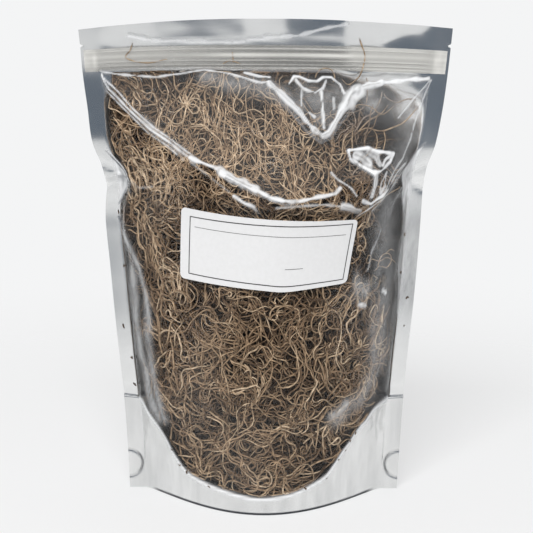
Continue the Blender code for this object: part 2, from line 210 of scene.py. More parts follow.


# Each placed crease: its height and width, how white its painted highlight line is and how wide, and the
# line's points
CREASES = (
    (2.4, 3.0, 0.95, 0.5, ((-94, 238), (-90, 230), (-78, 219), (-66, 210), (-54, 204), (-42, 196))),
    (0.0, 1.0, 0.75, 0.35, ((-92, 236), (-76, 219.8), (-64, 211.4), (-52, 205), (-40, 197.5))),
    (-0.9, 1.6, 0.7, 0.35, ((-92, 229), (-79, 217.4), (-67, 208), (-55, 202), (-44, 194))),
    (0.0, 1.0, 0.5, 0.8, ((-70, 213.5), (-62, 208), (-52, 203), (-42, 196))),
    (1.0, 2.0, 0.6, 0.55, ((-94, 240), (-83, 238), (-62, 236), (-47, 238), (-34, 240))),
    (0.6, 1.6, 0.75, 0.8, ((-12, 238), (-4, 236), (2, 235))),
    (2.6, 3.4, 0.7, 0.6, ((-34, 240), (-24, 238), (-13, 235), (-4, 232), (2, 231))),
    (2.6, 3.4, 0.85, 1.5, ((2, 231), (10, 226), (18, 220), (25, 212), (31, 207))),
    (2.6, 3.4, 0.9, 1.5, ((31, 207), (35, 209), (40, 216), (45, 223))),
    (2.0, 3.4, 0.9, 3.2, ((44.5, 221), (48, 226.5), (53, 229))),
    (2.4, 3.4, 0.85, 1.7, ((52, 229), (59, 232), (66, 233.5))),
    (0.6, 3.4, 0.85, 1.0, ((66, 233.5), (81, 236), (94, 237))),
    (1.2, 1.6, 0.8, 0.7, ((13, 232), (16, 236), (19, 236), (24, 234), (29, 234), (32, 236), (37, 236),
                          (42, 232), (44, 227))),
    (1.2, 1.6, 0.7, 0.6, ((17, 234), (21, 230), (28, 228), (32, 230), (34, 234))),
    (1.4, 1.6, 0.85, 0.9, ((31, 228), (32, 219), (32, 211))),
    (0.6, 1.2, 0.65, 0.6, ((20, 229), (20, 222))),
    (0.5, 1.2, 0.7, 0.7, ((24, 219), (27, 217))),
    (0.5, 1.2, 0.6, 0.5, ((38, 226), (38, 220))),
    (1.6, 2.4, 0.5, 0.5, ((96, 236), (92, 226), (88, 214), (86, 204), (82.5, 195), (75.5, 185.5),
                          (67, 175.5))),
    (1.0, 1.8, 0.45, 0.5, ((95, 236), (87, 227), (77, 216))),
    (1.0, 1.8, 0.6, 0.5, ((98.5, 201), (93, 195.5), (86, 187.5), (78, 180), (66.5, 173.5), (57, 168),
                          (49.5, 163))),
    (1.0, 2.2, 0.9, 1.3, ((-40, 195.5), (-30, 192.5), (-21, 189.5))),
    (1.0, 2.2, 0.95, 2.3, ((-24, 190.3), (-14, 186), (-5, 182.5))),
    (1.0, 2.2, 0.9, 1.2, ((-6, 183), (-2, 181), (3, 178), (10, 176.5))),
    (1.0, 2.2, 0.8, 0.9, ((10, 176.5), (18, 176), (29, 178), (38, 179), (42, 182))),
    (0.6, 1.6, 0.45, 0.6, ((6, 173), (21, 174), (32, 174), (44, 172), (55, 168))),
    (1.8, 2.4, 0.3, 0.35, ((-40, 193), (-29, 187), (-18, 180))),
    (1.8, 2.4, 0.9, 0.75, ((-16, 178.4), (-10.5, 175.2), (-5.5, 173.4), (-2.5, 168))),
    (1.6, 2.0, 0.95, 0.9, ((47.5, 201), (49, 197), (56.5, 192.3), (61.5, 188), (66.5, 189), (74, 193),
                           (76, 197.5), (66, 199), (59, 201.5), (47.5, 201))),
    (0.4, 2.0, 0.8, 2.4, ((52, 199), (57, 197), (61, 193.5))),
    (0.4, 2.0, 0.6, 1.6, ((60, 199.5), (65, 197), (66.5, 192))),
    (0.0, 1.0, 0.9, 0.4, ((-98.5, 197.5), (-96.3, 193.6), (-92.3, 188.6), (-85.3, 182.5), (-89.3, 177.4),
                            (-94.3, 170.4), (-97, 165.5))),
    (0.2, 1.2, 0.75, 0.7, ((68, 191.5), (71, 195), (75, 197))),
    (1.0, 2.0, 0.95, 1.5, ((62.5, 188), (63, 182), (60.5, 176))),
    (0.8, 1.6, 0.85, 0.8, ((55, 174), (60.5, 172), (65.5, 175), (72, 179))),
    (0.6, 1.4, 0.6, 0.5, ((66, 177), (68, 183), (72, 188), (70, 181), (66, 177))),
    (1.0, 2.0, 0.55, 0.5, ((66, 175), (75, 182), (84, 192))),
    (0.6, 1.4, 0.8, 1.6, ((42, 172.5), (48, 171), (54, 168))),
    (0.4, 1.2, 0.6, 0.5, ((38, 191), (41, 188), (45.5, 183.5), (51, 177))),
    (1.6, 2.0, 0.45, 0.5, ((85, 192), (78, 182), (69, 174), (62, 168))),
    (1.6, 2.0, 0.4, 0.6, ((71, 156), (67, 150), (63, 144), (61, 135))),
    (-1.2, 2.0, 0.0, 1.0, ((74, 158), (71, 140), (68, 120), (70, 104))),
    (1.4, 2.4, 0.2, 0.6, ((-86, 183), (-76, 178), (-66, 180))),
    (1.2, 2.4, 0.25, 0.6, ((88, 178), (80, 170), (76, 158))),
    (0.8, 2.2, 0.0, 1.0, ((80, 110), (76, 84), (70, 64), (58, 50))),
    (0.5, 1.6, 0.45, 0.8, ((-77, 259), (-65, 256), (-42, 254.5), (-17, 254), (3, 256), (19, 257.5),
                           (33, 261), (45, 263.5))),
)
# Places where the film is painted whiter, as painted reflections and highlights: how white, how far it
# reaches, and the line it follows
PAINTED_SHEEN = (
    (0.22, 5.0, ((69, 100), (72, 76), (60, 62), (42, 52))),
    (0.4, 3.0, ((50, 60), (46, 56), (40, 54))),
    (0.42, 2.4, ((-95, 151), (-88, 141.5), (-81.5, 132.5), (-75.5, 118), (-73.5, 100))),
    (0.3, 3.6, ((-75, 112), (-75, 84), (-72, 66), (-64, 48))),
    (0.36, 4.5, ((-88, 128), (-87, 104), (-84, 80), (-79, 62), (-70, 48))),
    (0.2, 11.0, ((74, 170), (77, 140), (78, 110), (76, 84))),
    (0.18, 4.0, ((-34, 236), (-10, 232), (8, 228), (20, 222))),
    (0.17, 6.0, ((22, 227), (32, 224), (39, 227), (32, 216))),
    (0.34, 5.5, ((51, 130), (55, 126), (60, 124))),
    (0.85, 1.4, ((76, 121), (79, 119))),
    (0.8, 1.3, ((57, 116), (61, 115))),
    (0.12, 9.0, ((60, 226), (80, 222), (88, 205), (80, 190))),
    (0.3, 2.2, ((-70, 214), (-58, 206), (-44, 198))),
)
# The fold above which the film is given more painted haze, which stands in for its faint reflection of the
# room
HAZE_EDGE = ((-92, 233), (-79, 220), (-67, 211), (-54, 204), (-36, 194), (-20, 189), (-4, 181), (10, 176),
             (44, 182))
# The inner edge of each side seal where it is tucked inwards, as heights and distances across the film. The
# tuck is drawn only as painted light on the front film
TUCKS = (((159, -98.5), (165.5, -97), (170.5, -94.5), (177.5, -89.5), (182.5, -85.3), (188.5, -92.3),
          (193.5, -96.3), (197.5, -98.5)),
         ((100, 97), (112, 94), (136, 91), (144, 92.5), (156, 93.5), (166, 91.5), (176, 90), (187, 86.5),
          (195, 94), (201, 98.5)))
# Thin dark lines, where a fold mirrors the dark of the room: how dark, how wide, and the points
DARK_LINES = (
    (0.8, 0.5, ((-98.8, 195.8), (-97, 192), (-93, 187.4), (-87.4, 183))),
    (0.4, 0.8, ((-87.4, 180.6), (-92.6, 173.4), (-97.2, 165.6))),
    (0.22, 2.2, ((-103, 179.6), (-98, 180.2), (-93, 181))),
    (0.3, 0.6, ((-97.5, 181.6), (-88, 182.2))),
    (0.65, 1.1, ((-97.2, 158), (-94.6, 151))),
    (0.45, 0.6, ((99, 201.5), (86.2, 187.2), (89.8, 176), (91.3, 166), (93.3, 156), (92.2, 145))),
    (0.5, 0.45, ((-2, 229.6), (8, 224), (16, 217.6), (23, 209.8), (31, 204.4))),
    (0.5, 0.45, ((31, 204.4), (36.6, 207), (42.4, 214.5), (47, 219.5))),
    (0.4, 0.45, ((3, 233.2), (11, 228.4), (18.8, 222.6))),
    (0.45, 0.4, ((-21, 187), (-12, 183.6), (-6, 179.8), (2, 177.6), (10, 174.6), (20, 173.8))),
    (0.45, 0.4, ((48.6, 198), (56.3, 190.6), (61.2, 186.2), (61.4, 181), (58.8, 176.6))),
    (0.35, 0.4, ((-92, 233.4), (-79, 218.6), (-67.4, 209.4), (-55.4, 203.2))),
    (0.35, 0.6, ((-94, 240.2), (-70, 240.4), (-50, 240.6), (-30, 240.4), (0, 239.4), (40, 239.4))),
)
LABEL_PLACE = (1.2, 148.7)
LABEL_SIZE = (98.0, 38.1)
LABEL_TILT = np.radians(-3.8)
# Folds across a side seal at the shoulder: height and the two points
SEAL_FOLDS = ((0.9, ((108, 191), (93, 182))), (0.9, ((108, 173), (94, 182))),
              (-0.6, ((108, 182), (96, 182))))
CRINKLE_HEIGHT = 0.5
# The round marks low on the side edges, where front and back are welded together through the gusset
WELD_HEIGHT, WELD_RADIUS = 15, 8


# %% The front film's relief
# The gusset seal's curved edge, as (across, up)
GUSSET_EDGE = ((-105, 55), (-96, 54), (-88, 52.8), (-82, 50.5), (-73.5, 44.5), (-66.5, 38), (-60.5, 32),
               (-55, 26), (-48.5, 20), (-44, 17.3), (-38, 15.4), (-28, 13), (-7, 9.7), (0, 9.4), (15, 11),
               (28, 14.8), (36, 18.2), (41, 23), (46, 29), (53.5, 36), (60, 42), (67.5, 48), (74, 51.5),
               (81, 53.2), (91, 54.2), (105, 55))
# The height of the shoulder across the bag, and how far the film steps in above it
SHOULDER = ((-60, 199), (-40, 196), (-16, 186), (0, 178), (20, 176), (50, 184), (80, 198))
SHOULDER_STEP = 3.2


def gusset_height(u):
    """Height of the seal's curved edge: low in the middle and up to the fold at the side seals."""
    return smooth_curve(u * POUCH_HALF, GUSSET_EDGE)


def below_zip(z):
    """1 on the filled part of the bag and 0 from the foot of the zip upwards."""
    return 1 - smooth_step(236, 240, z)


def from_weld(u, z):
    """Distance on the flat film from the middle of the nearer weld mark, which is on the side edge."""
    return np.hypot(POUCH_HALF * (1 - np.abs(u)), z - WELD_HEIGHT)


def shoulder(s, z):
    """A step across the bag: the film above the band is pushed in and the film below it stands out."""
    height = smooth_curve(s, SHOULDER)
    spread = smooth_step(-62, -38, s) * (1 - smooth_step(52, 78, s))
    step = 1 - 2 * smooth_step(height - 3, height + 7, z)
    fade = smooth_step(height - 34, height - 6, z) * (1 - smooth_step(height + 8, height + 34, z))
    return SHOULDER_STEP * spread * step * fade


def label_calm(s, z):
    """0 under the label, whose paper holds the film flat, and 1 beyond a margin round it."""
    ds, dz = s - LABEL_PLACE[0], z - LABEL_PLACE[1]
    along = ds * np.cos(LABEL_TILT) + dz * np.sin(LABEL_TILT)
    up = dz * np.cos(LABEL_TILT) - ds * np.sin(LABEL_TILT)
    gap = np.maximum(np.abs(along) - LABEL_SIZE[0] / 2, np.abs(up) - LABEL_SIZE[1] / 2)
    return smooth_step(0.5, 7, gap)


def crinkles(s, z, seed, count):
    """Short creases at random, up and down near the seams and any way elsewhere."""
    rng = np.random.default_rng(seed)
    total = np.zeros(np.broadcast(s, z).shape)
    for _ in range(count):
        s0, z0 = rng.uniform(-92, 92), rng.uniform(8, 238)
        side_pull = smooth_step(35, 85, abs(s0))
        angle = np.pi / 2 + rng.normal(0, 0.25 + 1.2 * (1 - side_pull))
        length, bend = rng.uniform(8, 26), rng.normal(0, 3)
        ds, dz = np.cos(angle), np.sin(angle)
        points = [(s0 + t * ds - b * dz, z0 + t * dz + b * ds)
                  for t, b in ((-length / 2, 0), (0, bend), (length / 2, 0))]
        lift = CRINKLE_HEIGHT * rng.uniform(0.4, 1.0) * rng.choice((-1, 1), p=(0.35, 0.65))
        total += lift * ridge(line_distance(s, z, points), rng.uniform(1.0, 2.4), 1.2)
    return total


def seal_folds(s, z):
    """The short folds across both side seals at the shoulder, where the filled part pulls them in."""
    total = np.zeros(np.shape(s))
    for side in (-1, 1):
        on_seal = smooth_step(0.86, 0.93, side * s / POUCH_HALF)
        for height, points in SEAL_FOLDS:
            total += height * ridge(line_distance(side * s, z, points), 1.8) * on_seal
    return total


def front_relief(u, z):
    """How far the creased film stands out from the smooth one: shoulder, creases, crinkles and soft waves
    added up, a ridge along the gusset's edge, and less the grooves round the welds and the folds across the
    seals."""
    s = u * POUCH_HALF
    total = shoulder(s, z)
    for height, width, _, _, points in CREASES:
        total = total + height * ridge(line_distance(s, z, points), width)
    total = total + crinkles(s, z, 5, 90) + 0.45 * soft_waves(s, z, 7, 34) + 0.08 * soft_waves(s, z, 8, 13)
    inside = 1 - smooth_step(U_SEAL - 0.05, U_SEAL + 0.005, np.abs(u))
    creased = total * inside * below_zip(z) * smooth_step(2, 30, z) * label_calm(s, z)
    arc = 0.8 * ridge(np.abs(z - gusset_height(u)) * 0.8, 1.3) * inside
    groove = 0.5 * bell(from_weld(u, z) - WELD_RADIUS, 0.8)
    return creased + arc - groove - seal_folds(s, z)


def tuck_painted_light(s, z):
    """Painted light on the film beside a tucked seal, standing in for the bright foil of the fold: a step
    at the tuck's edge, a little streaky.
    """
    streaks = 1 + 0.12 * soft_waves(s * 4, z, 14, 14) + 0.08 * soft_waves(s * 6, z * 2, 15, 9)
    left_edge = np.interp(z, *zip(*TUCKS[0]), left=-104, right=-104)
    right_edge = np.interp(z, *zip(*TUCKS[1]), left=104, right=104)
    left = 0.76 * smooth_step(-0.4, 0.4, left_edge - s)
    right = (0.34 + 0.44 * smooth_step(160, 178, z)) * smooth_step(-0.4, 0.4, s - right_edge)
    both = np.maximum(left, right) * (1 - smooth_step(96.5, 99, np.abs(s)))
    return np.clip(both * streaks, 0, 1)


def front_whiteness(u, z):
    """How white the film is painted, as highlights and reflections: along creases, where it is bent sharply
    and mirrors the lamps, in a few places of painted sheen, beside the tucked seals and along the gusset's
    edge, with a faint veil of painted haze. Broken up a little along each line."""
    s = u * POUCH_HALF
    broken = np.clip(0.95 + 0.2 * soft_waves(s, z, 9, 11) + 0.14 * soft_waves(s, z, 10, 3.5), 0.4, 1.2)
    uneven = 1 + 0.35 * soft_waves(s, z, 12, 8)
    total = np.zeros(np.shape(s))
    for _, _, white, width, points in CREASES:
        off = line_distance(s, z, points) / (width * np.clip(uneven, 0.4, 1.6))
        hollow = 1 - 0.6 * bell(off + 0.1 * uneven, 0.3) * (width >= 1.5)
        total = np.maximum(total, white * hollow * np.clip(broken * 1.15, 0, 1) * np.exp(-off**4))
    for white, reach, points in PAINTED_SHEEN:
        total = np.maximum(total, white * broken * bell(line_distance(s, z, points), reach))
    total = np.maximum(total * label_calm(s, z), tuck_painted_light(s, z))
    # A painted highlight along the gusset's edge, and a faint veil of painted haze, which stands in for the
    # film's faint reflection of the room
    above_arc = z - gusset_height(u)
    arc = 0.85 * bell(above_arc * (1.1 - 0.6 * np.abs(u)), 1.0)
    skirt = 0.014 * (1 - smooth_step(50, 90, z))
    haze = 0.034 * smooth_step(0, 4, z - np.interp(s, *zip(*HAZE_EDGE))) * below_zip(z)
    cloud = 0.015 * np.clip(soft_waves(s, z, 13, 70), 0, 1.5) * (1 - smooth_step(180, 200, z))
    veil = skirt + haze + cloud * smooth_step(0, 6, above_arc)
    between_seals = np.abs(u) < U_SEAL
    return np.clip(np.maximum(total, arc * between_seals) + veil * between_seals, 0, 1)


def front_shadow(u, z):
    """How dark the film's thin dark lines are, rounded off across each line."""
    s = u * POUCH_HALF
    total = np.zeros(np.shape(s))
    for dark, width, points in DARK_LINES:
        total = np.maximum(total, dark * np.exp(-(line_distance(s, z, points) / width) ** 4))
    return total * np.clip(0.9 + 0.25 * soft_waves(s, z, 16, 9), 0.4, 1)


def front_surface(u, z, out):
    """The creased front film, moved outwards along its own normal."""
    return lifted(u, z, FRONT, front_relief(u, z) + out)


# %% [markdown]
# ## Putting grids into meshes
# A surface is a grid of points, and each small square of it is a face. `foreach_set` writes whole arrays at
# once, which is much quicker than adding vertices one by one.


# %% Mesh helpers
def put_mesh(name, points, faces, material, caps=()):
    """A mesh object at the origin from an array of points in millimetres, an array of four-sided faces and,
    where the piece has them, an array of three-sided ones."""
    corners = np.repeat([4, 3], [len(faces), len(caps)])
    loops = np.concatenate([np.ravel(faces), np.ravel(caps)]).astype(np.int32)
    mesh = bpy.data.meshes.new(name)
    mesh.vertices.add(len(points))
    mesh.vertices.foreach_set("co", (np.asarray(points, float) * MM).astype(np.float32).ravel())
    mesh.loops.add(len(loops))
    mesh.loops.foreach_set("vertex_index", loops)
    mesh.polygons.add(len(corners))
    mesh.polygons.foreach_set("loop_start", (np.cumsum(corners) - corners).astype(np.int32))
    mesh.update(calc_edges=True)
    mesh.polygons.foreach_set("use_smooth", np.ones(len(corners), bool))
    mesh.materials.append(material)
    obj = bpy.data.objects.new(name, mesh)
    bpy.context.scene.collection.objects.link(obj)
    print(f"{name}: {len(points)} points, {len(corners)} faces")
    return obj


def grid_faces(rows, columns, first=0):
    """The four corners of each square of a grid of points."""
    index = first + np.arange(rows * columns).reshape(rows, columns)
    return np.stack([index[:-1, :-1], index[:-1, 1:], index[1:, 1:], index[1:, :-1]], -1).reshape(-1, 4)


def put_sheet(name, near, far, material):
    """A closed sheet between two grids of points. The rim round it has points of its own, so that its sharp
    corner doesn't round off the shading of the faces."""
    rows, columns = near.shape[:2]
    count = rows * columns
    index = np.arange(count).reshape(rows, columns)
    rim = np.concatenate([index[0, :-1], index[:-1, -1], index[-1, :0:-1], index[:0:-1, 0]])
    near, far = near.reshape(-1, 3), far.reshape(-1, 3)
    here = 2 * count + np.arange(len(rim))
    ahead = np.roll(here, -1)
    faces = np.concatenate([grid_faces(rows, columns)[:, ::-1], grid_faces(rows, columns, count),
                            np.stack([here, ahead, ahead + len(rim), here + len(rim)], -1)])
    return put_mesh(name, np.concatenate([near, far, near[rim], far[rim]]), faces, material)


def paint(obj, name, values):
    """Stores one number for each point of a mesh, for its material to read."""
    layer = obj.data.attributes.new(name, "FLOAT", "POINT")
    layer.data.foreach_set("value", np.asarray(values, np.float32).ravel())


def paint_sheet(obj, name, near, far):
    """Stores the numbers of a closed sheet's two faces, and 0 on its rim."""
    rim = np.zeros(len(obj.data.vertices) - near.size - far.size)
    paint(obj, name, np.concatenate([near.ravel(), far.ravel(), rim]))


# %% [markdown]
# ## Finishes
# The front web is clear film: almost everything passes through it, and what little it mirrors is sharp. The
# back web and the gusset are metallised, so they mirror nearly everything, but softly. The moss is dull and
# dry.


# %% Small helpers for nodes
def new_material(name):
    """An empty node material and its node tree."""
    material = bpy.data.materials.new(name)
    material.use_nodes = True
    material.node_tree.nodes.clear()
    return material, material.node_tree


def feed(tree, socket, value):
    """Links a socket to the one it is given, or sets the number or colour it holds."""
    if isinstance(value, bpy.types.NodeSocket):
        tree.links.new(value, socket)
    else:
        socket.default_value = value


def node(tree, kind, **inputs):
    """A node of a kind, with its named sockets fed."""
    made = tree.nodes.new(kind)
    for key, value in inputs.items():
        feed(tree, made.inputs[key.replace("_", " ")], value)
    return made


def noise(tree, scale, stretch=(1, 1, 1), detail=3.0, roughness=0.5):
    """Noise in the object's own coordinates, in millimetres, stretched per axis."""
    place = node(tree, "ShaderNodeTexCoord").outputs["Object"]
    mapping = node(tree, "ShaderNodeMapping", Vector=place, Scale=[1000 * k for k in stretch])
    texture = node(tree, "ShaderNodeTexNoise", Vector=mapping.outputs["Vector"], Scale=scale, Detail=detail,
                   Roughness=roughness)
    return texture.outputs["Fac"]


def ramp(tree, source, stops):
    """A colour ramp from (place, colour) stops."""
    made = node(tree, "ShaderNodeValToRGB", Fac=source)
    for index, (place, colour) in enumerate(stops):
        element = made.color_ramp.elements[index] if index < 2 else made.color_ramp.elements.new(place)
        element.position, element.color = place, (*colour, 1)
    return made.outputs["Color"]


def bump(tree, source, strength, distance):
    """Turns a grey pattern into a relief of that distance in millimetres."""
    made = node(tree, "ShaderNodeBump", Height=source, Strength=strength, Distance=distance * MM)
    return made.outputs["Normal"]


def maths(tree, operation, first, second):
    """A sum, a product or another simple operation on two sockets or numbers."""
    made = tree.nodes.new("ShaderNodeMath")
    made.operation = operation
    feed(tree, made.inputs[0], first)
    feed(tree, made.inputs[1], second)
    return made.outputs[0]


def mix_colours(tree, share, first, second, way="MIX"):
    """Two colours mixed by a share, or multiplied where the way says so."""
    made = tree.nodes.new("ShaderNodeMix")
    made.data_type, made.blend_type = "RGBA", way
    for key, value in (("Factor", share), ("A", first), ("B", second)):
        feed(tree, made.inputs[key], value)
    return made.outputs["Result"]


def mix_shaders(tree, share, first, second):
    """The first shader where the share is 0, the second where it is 1."""
    made = node(tree, "ShaderNodeMixShader", Fac=share)
    feed(tree, made.inputs[1], first)
    feed(tree, made.inputs[2], second)
    return made.outputs["Shader"]


def painted(tree, name, output="Fac"):
    """What was painted on the piece under that name."""
    made = tree.nodes.new("ShaderNodeAttribute")
    made.attribute_name = name
    return made.outputs[output]


def plain_shader(tree, **inputs):
    """The everyday shader, led to the material's output."""
    shader = node(tree, "ShaderNodeBsdfPrincipled", **inputs)
    node(tree, "ShaderNodeOutputMaterial", Surface=shader.outputs["BSDF"])


# %% Clear film
def clear_film(name, faced, haze, roughness, haze_and_painted_light_colour, painted_dark_folds=False):
    """Clear plastic: see-through, with a little milky haze and the whiteness painted on the piece, which on
    the front film is painted highlights and reflections, painted dark reflections in the folds of one that
    has them, and a share of gloss that is small face on and grows with the fifth power of how far the film
    is turned away."""
    material, tree = new_material(name)
    relief = bump(tree, noise(tree, 0.1, detail=1.0), 0.04, 0.2)
    through = node(tree, "ShaderNodeBsdfTransparent", Color=(0.97, 0.97, 0.965, 1))
    gloss = node(tree, "ShaderNodeBsdfAnisotropic", Color=(1, 1, 1, 1), Roughness=roughness, Normal=relief)
    turned = node(tree, "ShaderNodeLayerWeight", Blend=0.5, Normal=relief).outputs["Facing"]
    share = maths(tree, "MULTIPLY", maths(tree, "POWER", turned, 5.0), 1 - faced)
    clear = mix_shaders(tree, maths(tree, "ADD", share, faced), through.outputs["BSDF"],
                        gloss.outputs["BSDF"])
    # One diffuse shader draws the haze, the painted highlights and reflections and, in the folds, the
    # painted dark reflections
    haze_and_painted_light = node(tree, "ShaderNodeBsdfDiffuse", Color=(*haze_and_painted_light_colour, 1))
    if painted_dark_folds:
        feed(tree, haze_and_painted_light.inputs["Color"],
             mix_colours(tree, painted(tree, "shadow"), (*haze_and_painted_light_colour, 1), (0.06, 0.07, 0.09, 1)))
    white = maths(tree, "ADD", painted(tree, "whiteness"), haze)
    node(tree, "ShaderNodeOutputMaterial", Surface=mix_shaders(tree, white, clear, haze_and_painted_light.outputs["BSDF"]))
    return material


CLEAR = clear_film("clear_film", 0.008, 0.002, 0.11, (0.86, 0.87, 0.88), painted_dark_folds=True)
ZIP_PLASTIC = clear_film("zip_plastic", 0.05, 0.09, 0.08, (0.86, 0.85, 0.82))


# %% Foil
def foil(name, grain, streak, roughness, dark, light):
    """Metallised film: a soft mirror with an upright grain, faint clouds and the painted shade."""
    material, tree = new_material(name)
    cloud = ramp(tree, noise(tree, streak[0], stretch=streak[1:], detail=4.0), ((0.3, dark), (0.7, light)))
    tone = mix_colours(tree, painted(tree, "shade"), cloud, (0.035, 0.04, 0.05, 1))
    relief = bump(tree, noise(tree, 1.0, stretch=grain), 0.25, 0.05)
    plain_shader(tree, Base_Color=tone, Normal=relief, Metallic=0.97, Roughness=roughness)
    return material


FOIL = foil("foil", (2.2, 2.2, 0.12), (0.03, 1, 1, 1), 0.22, (0.86, 0.865, 0.87), (0.93, 0.935, 0.94))
GUSSET_FOIL = foil("gusset_foil", (2.2, 2.2, 0.3), (0.12, 1, 1, 0.22), 0.26, (0.74, 0.745, 0.75),
                   (0.9, 0.903, 0.906))

# %% [markdown]
# ## The front film
# The clear web is one sheet of small squares. Its rows lie closest together across the creased shoulder, so
# that the creases stay sharp. A small V is cut into each side seal, where the bag is torn open.

# %% Front film
NOTCH_HEIGHT, NOTCH_HALF, NOTCH_DEPTH = 255.2, 1.2, 2.5
FRONT_COLUMNS = 285
BACK_COLUMNS, BACK_ROWS = 121, 139
# How far out the front film lies, and the back film's two faces
FRONT_LIFT = 0.3
BACK_LIFTS = (0.35, 0.1)
# Below this darkness a fold's dark line doesn't cover the white beside it
FAINT_LINE = 0.05


def film_rows(count):
    """Heights of a film's rows, with rows on the tear notch's three corners."""
    notch = NOTCH_HEIGHT + NOTCH_HALF * np.array([-1, 0, 1])
    rows = np.linspace(0, TOP, count)
    return np.sort(np.concatenate([rows[np.abs(rows - NOTCH_HEIGHT) > NOTCH_HALF + 0.2], notch]))


# The filled part, the creased shoulder and the header
front_rows = np.unique(np.r_[np.arange(0, 162, 1.35), np.arange(162, 241, 0.55), film_rows(442)[-42:]])


def cut_notches(points, u, z):
    """Moves the outermost points at the notch's height inwards."""
    notch = np.isclose(z, NOTCH_HEIGHT) & (np.abs(u) > 0.999)
    points[..., 0] -= np.sign(u) * notch * NOTCH_DEPTH
    return points


u, z = np.meshgrid(np.linspace(-1, 1, FRONT_COLUMNS), front_rows)
front = cut_notches(front_surface(u, z, FRONT_LIFT), u, z)
front_film = put_mesh("front_film_sheet", front.reshape(-1, 3), grid_faces(*u.shape), CLEAR)
# The front film's painted highlights and reflections, and its painted dark lines
white, shadow = front_whiteness(u, z), front_shadow(u, z)
paint(front_film, "whiteness", np.where(shadow >= FAINT_LINE, np.maximum(white, shadow), white))
paint(front_film, "shadow", np.clip(1.6 * shadow, 0, 1))
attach(front_film, "root")
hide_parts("front_film")

# %% [markdown]
# ## The back film
# The foil is stiffer, so it ripples in longer waves. In the header it shows through the clear web, and
# there it leans a little this way and that, enough to mirror the bright floor in one place and the dark of
# the room in the next.


# %% Back film
# How steeply the header's foil leans back across the bag, and what is added to that above the split
LEAN_LOW = ((-97, 0.0), (-82, -0.01), (-78, -0.07), (-66, -0.07), (-60, 0.0), (-12, 0.0), (-6, 0.02),
            (43, 0.03), (48, -0.09), (62, -0.1), (70, 0.06), (97, 0.06))
LEAN_TOP = ((-97, 0.0), (-80, 0.0), (-77, 0.08), (-14, 0.07), (-8, -0.05), (8, -0.05), (14, 0.08),
            (43, 0.08), (48, 0.0), (60, 0.0), (68, -0.2), (92, -0.2), (96, 0.0), (97, 0.0))
LEAN_SPLIT = ((-97, 256), (-34, 256.5), (-3, 256.5), (45, 257), (64, 254.5), (78, 260), (92, 263),
              (97, 264))


def back_relief(u, z):
    """Long soft waves and crinkles, the header's leans and faint level ripples, and the seals' folds."""
    s = u * POUCH_HALF
    inside = 1 - smooth_step(U_SEAL - 0.06, U_SEAL, np.abs(u))
    body = 0.9 * soft_waves(s, z, 21, 46) + 0.25 * soft_waves(s, z, 22, 17) + crinkles(s, z, 23, 60)
    ripple = 0.09 * soft_waves(s / 3.2, z, 24, 15, count=7) + 0.05 * soft_waves(s / 3, z, 25, 7)
    low_lean = smooth_curve(s, LEAN_LOW) * (z - 254)
    top_lean = smooth_curve(s, LEAN_TOP) * np.maximum(z - smooth_curve(s, LEAN_SPLIT), 0)
    header = smooth_step(236, 244, z)
    total = body * (1 - header) * smooth_step(2, 30, z) + (ripple + low_lean + top_lean) * header
    return inside * total + seal_folds(s, z)


def back_surface(u, z, out):
    """The rippled back film, moved outwards along its own normal."""
    return lifted(u, z, BACK, back_relief(u, z) + out)


def seal_shade(u, z):
    """Where the right seal mirrors something darker: a streaky patch below the shoulder."""
    s = u * POUCH_HALF
    streaks = 1 + 0.3 * soft_waves(s * 5, z, 26, 22) + 0.2 * soft_waves(s * 3, z, 27, 6)
    patch = smooth_step(98, 116, z) * (1 - smooth_step(150, 166, z))
    return np.clip(0.22 * patch * streaks, 0, 1) * smooth_step(U_SEAL - 0.1, U_SEAL - 0.05, u)


u, z = np.meshgrid(np.linspace(-1, 1, BACK_COLUMNS), film_rows(BACK_ROWS))
near, far = (cut_notches(back_surface(u, z, out), u, z) for out in BACK_LIFTS)
back_film = put_sheet("back_film_sheet", near, far, FOIL)
shade = seal_shade(u, z)
paint_sheet(back_film, "shade", shade, shade)
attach(back_film, "root")
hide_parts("back_film")

# %% [markdown]
# ## The gusset
# The foil folded up between the lower edges is heat-sealed to both films below a curved line, which is what
# makes the bright skirt at the bottom of the pouch. Between the two curved edges it hangs as a shallow
# floor.


# %% Gusset
GUSSET_COLUMNS, FRONT_LEAF_ROWS, FLOOR_ROWS, BACK_LEAF_ROWS = 281, 56, 10, 20
GUSSET_FILM = 0.25


def gusset_grid(sunk):
    """Rows up the front leaf, across the floor and down the back leaf, sunk into the bag."""
    u = np.linspace(-1, 1, GUSSET_COLUMNS)[None, :]
    up, down = np.linspace(0, 1, FRONT_LEAF_ROWS)[:, None], np.linspace(1, 0, BACK_LEAF_ROWS)[:, None]
    heights = gusset_height(u) - sunk
    front_leaf = front_surface(u + 0 * up, up * heights, -SEAL_GAP - sunk)
    back_leaf = back_surface(u + 0 * down, down * heights, -SEAL_GAP - sunk)
    across = np.linspace(0, 1, FLOOR_ROWS + 2)[1:-1, None, None]
    floor = front_leaf[-1:] * (1 - across) + back_leaf[:1] * across
    return np.concatenate([front_leaf, floor, back_leaf])


def gusset_shade():
    """Dark thin lines on the front leaf: its lower edge, and the inner side of the two round weld marks."""
    u = np.linspace(-1, 1, GUSSET_COLUMNS)[None, :]
    z = np.linspace(0, 1, FRONT_LEAF_ROWS)[:, None] * gusset_height(u)
    edge = (1 - smooth_step(0.9, 1.6, z)) * (1 - smooth_step(0.66, 0.8, np.abs(u)))
    inner_side = smooth_step(4, 7, POUCH_HALF * (1 - np.abs(u)))
    ring = bell(from_weld(u, z) - WELD_RADIUS, 0.6) * (0.2 + 0.75 * inner_side)
    return np.concatenate([np.maximum(edge, ring), np.zeros((FLOOR_ROWS + BACK_LEAF_ROWS, GUSSET_COLUMNS))])


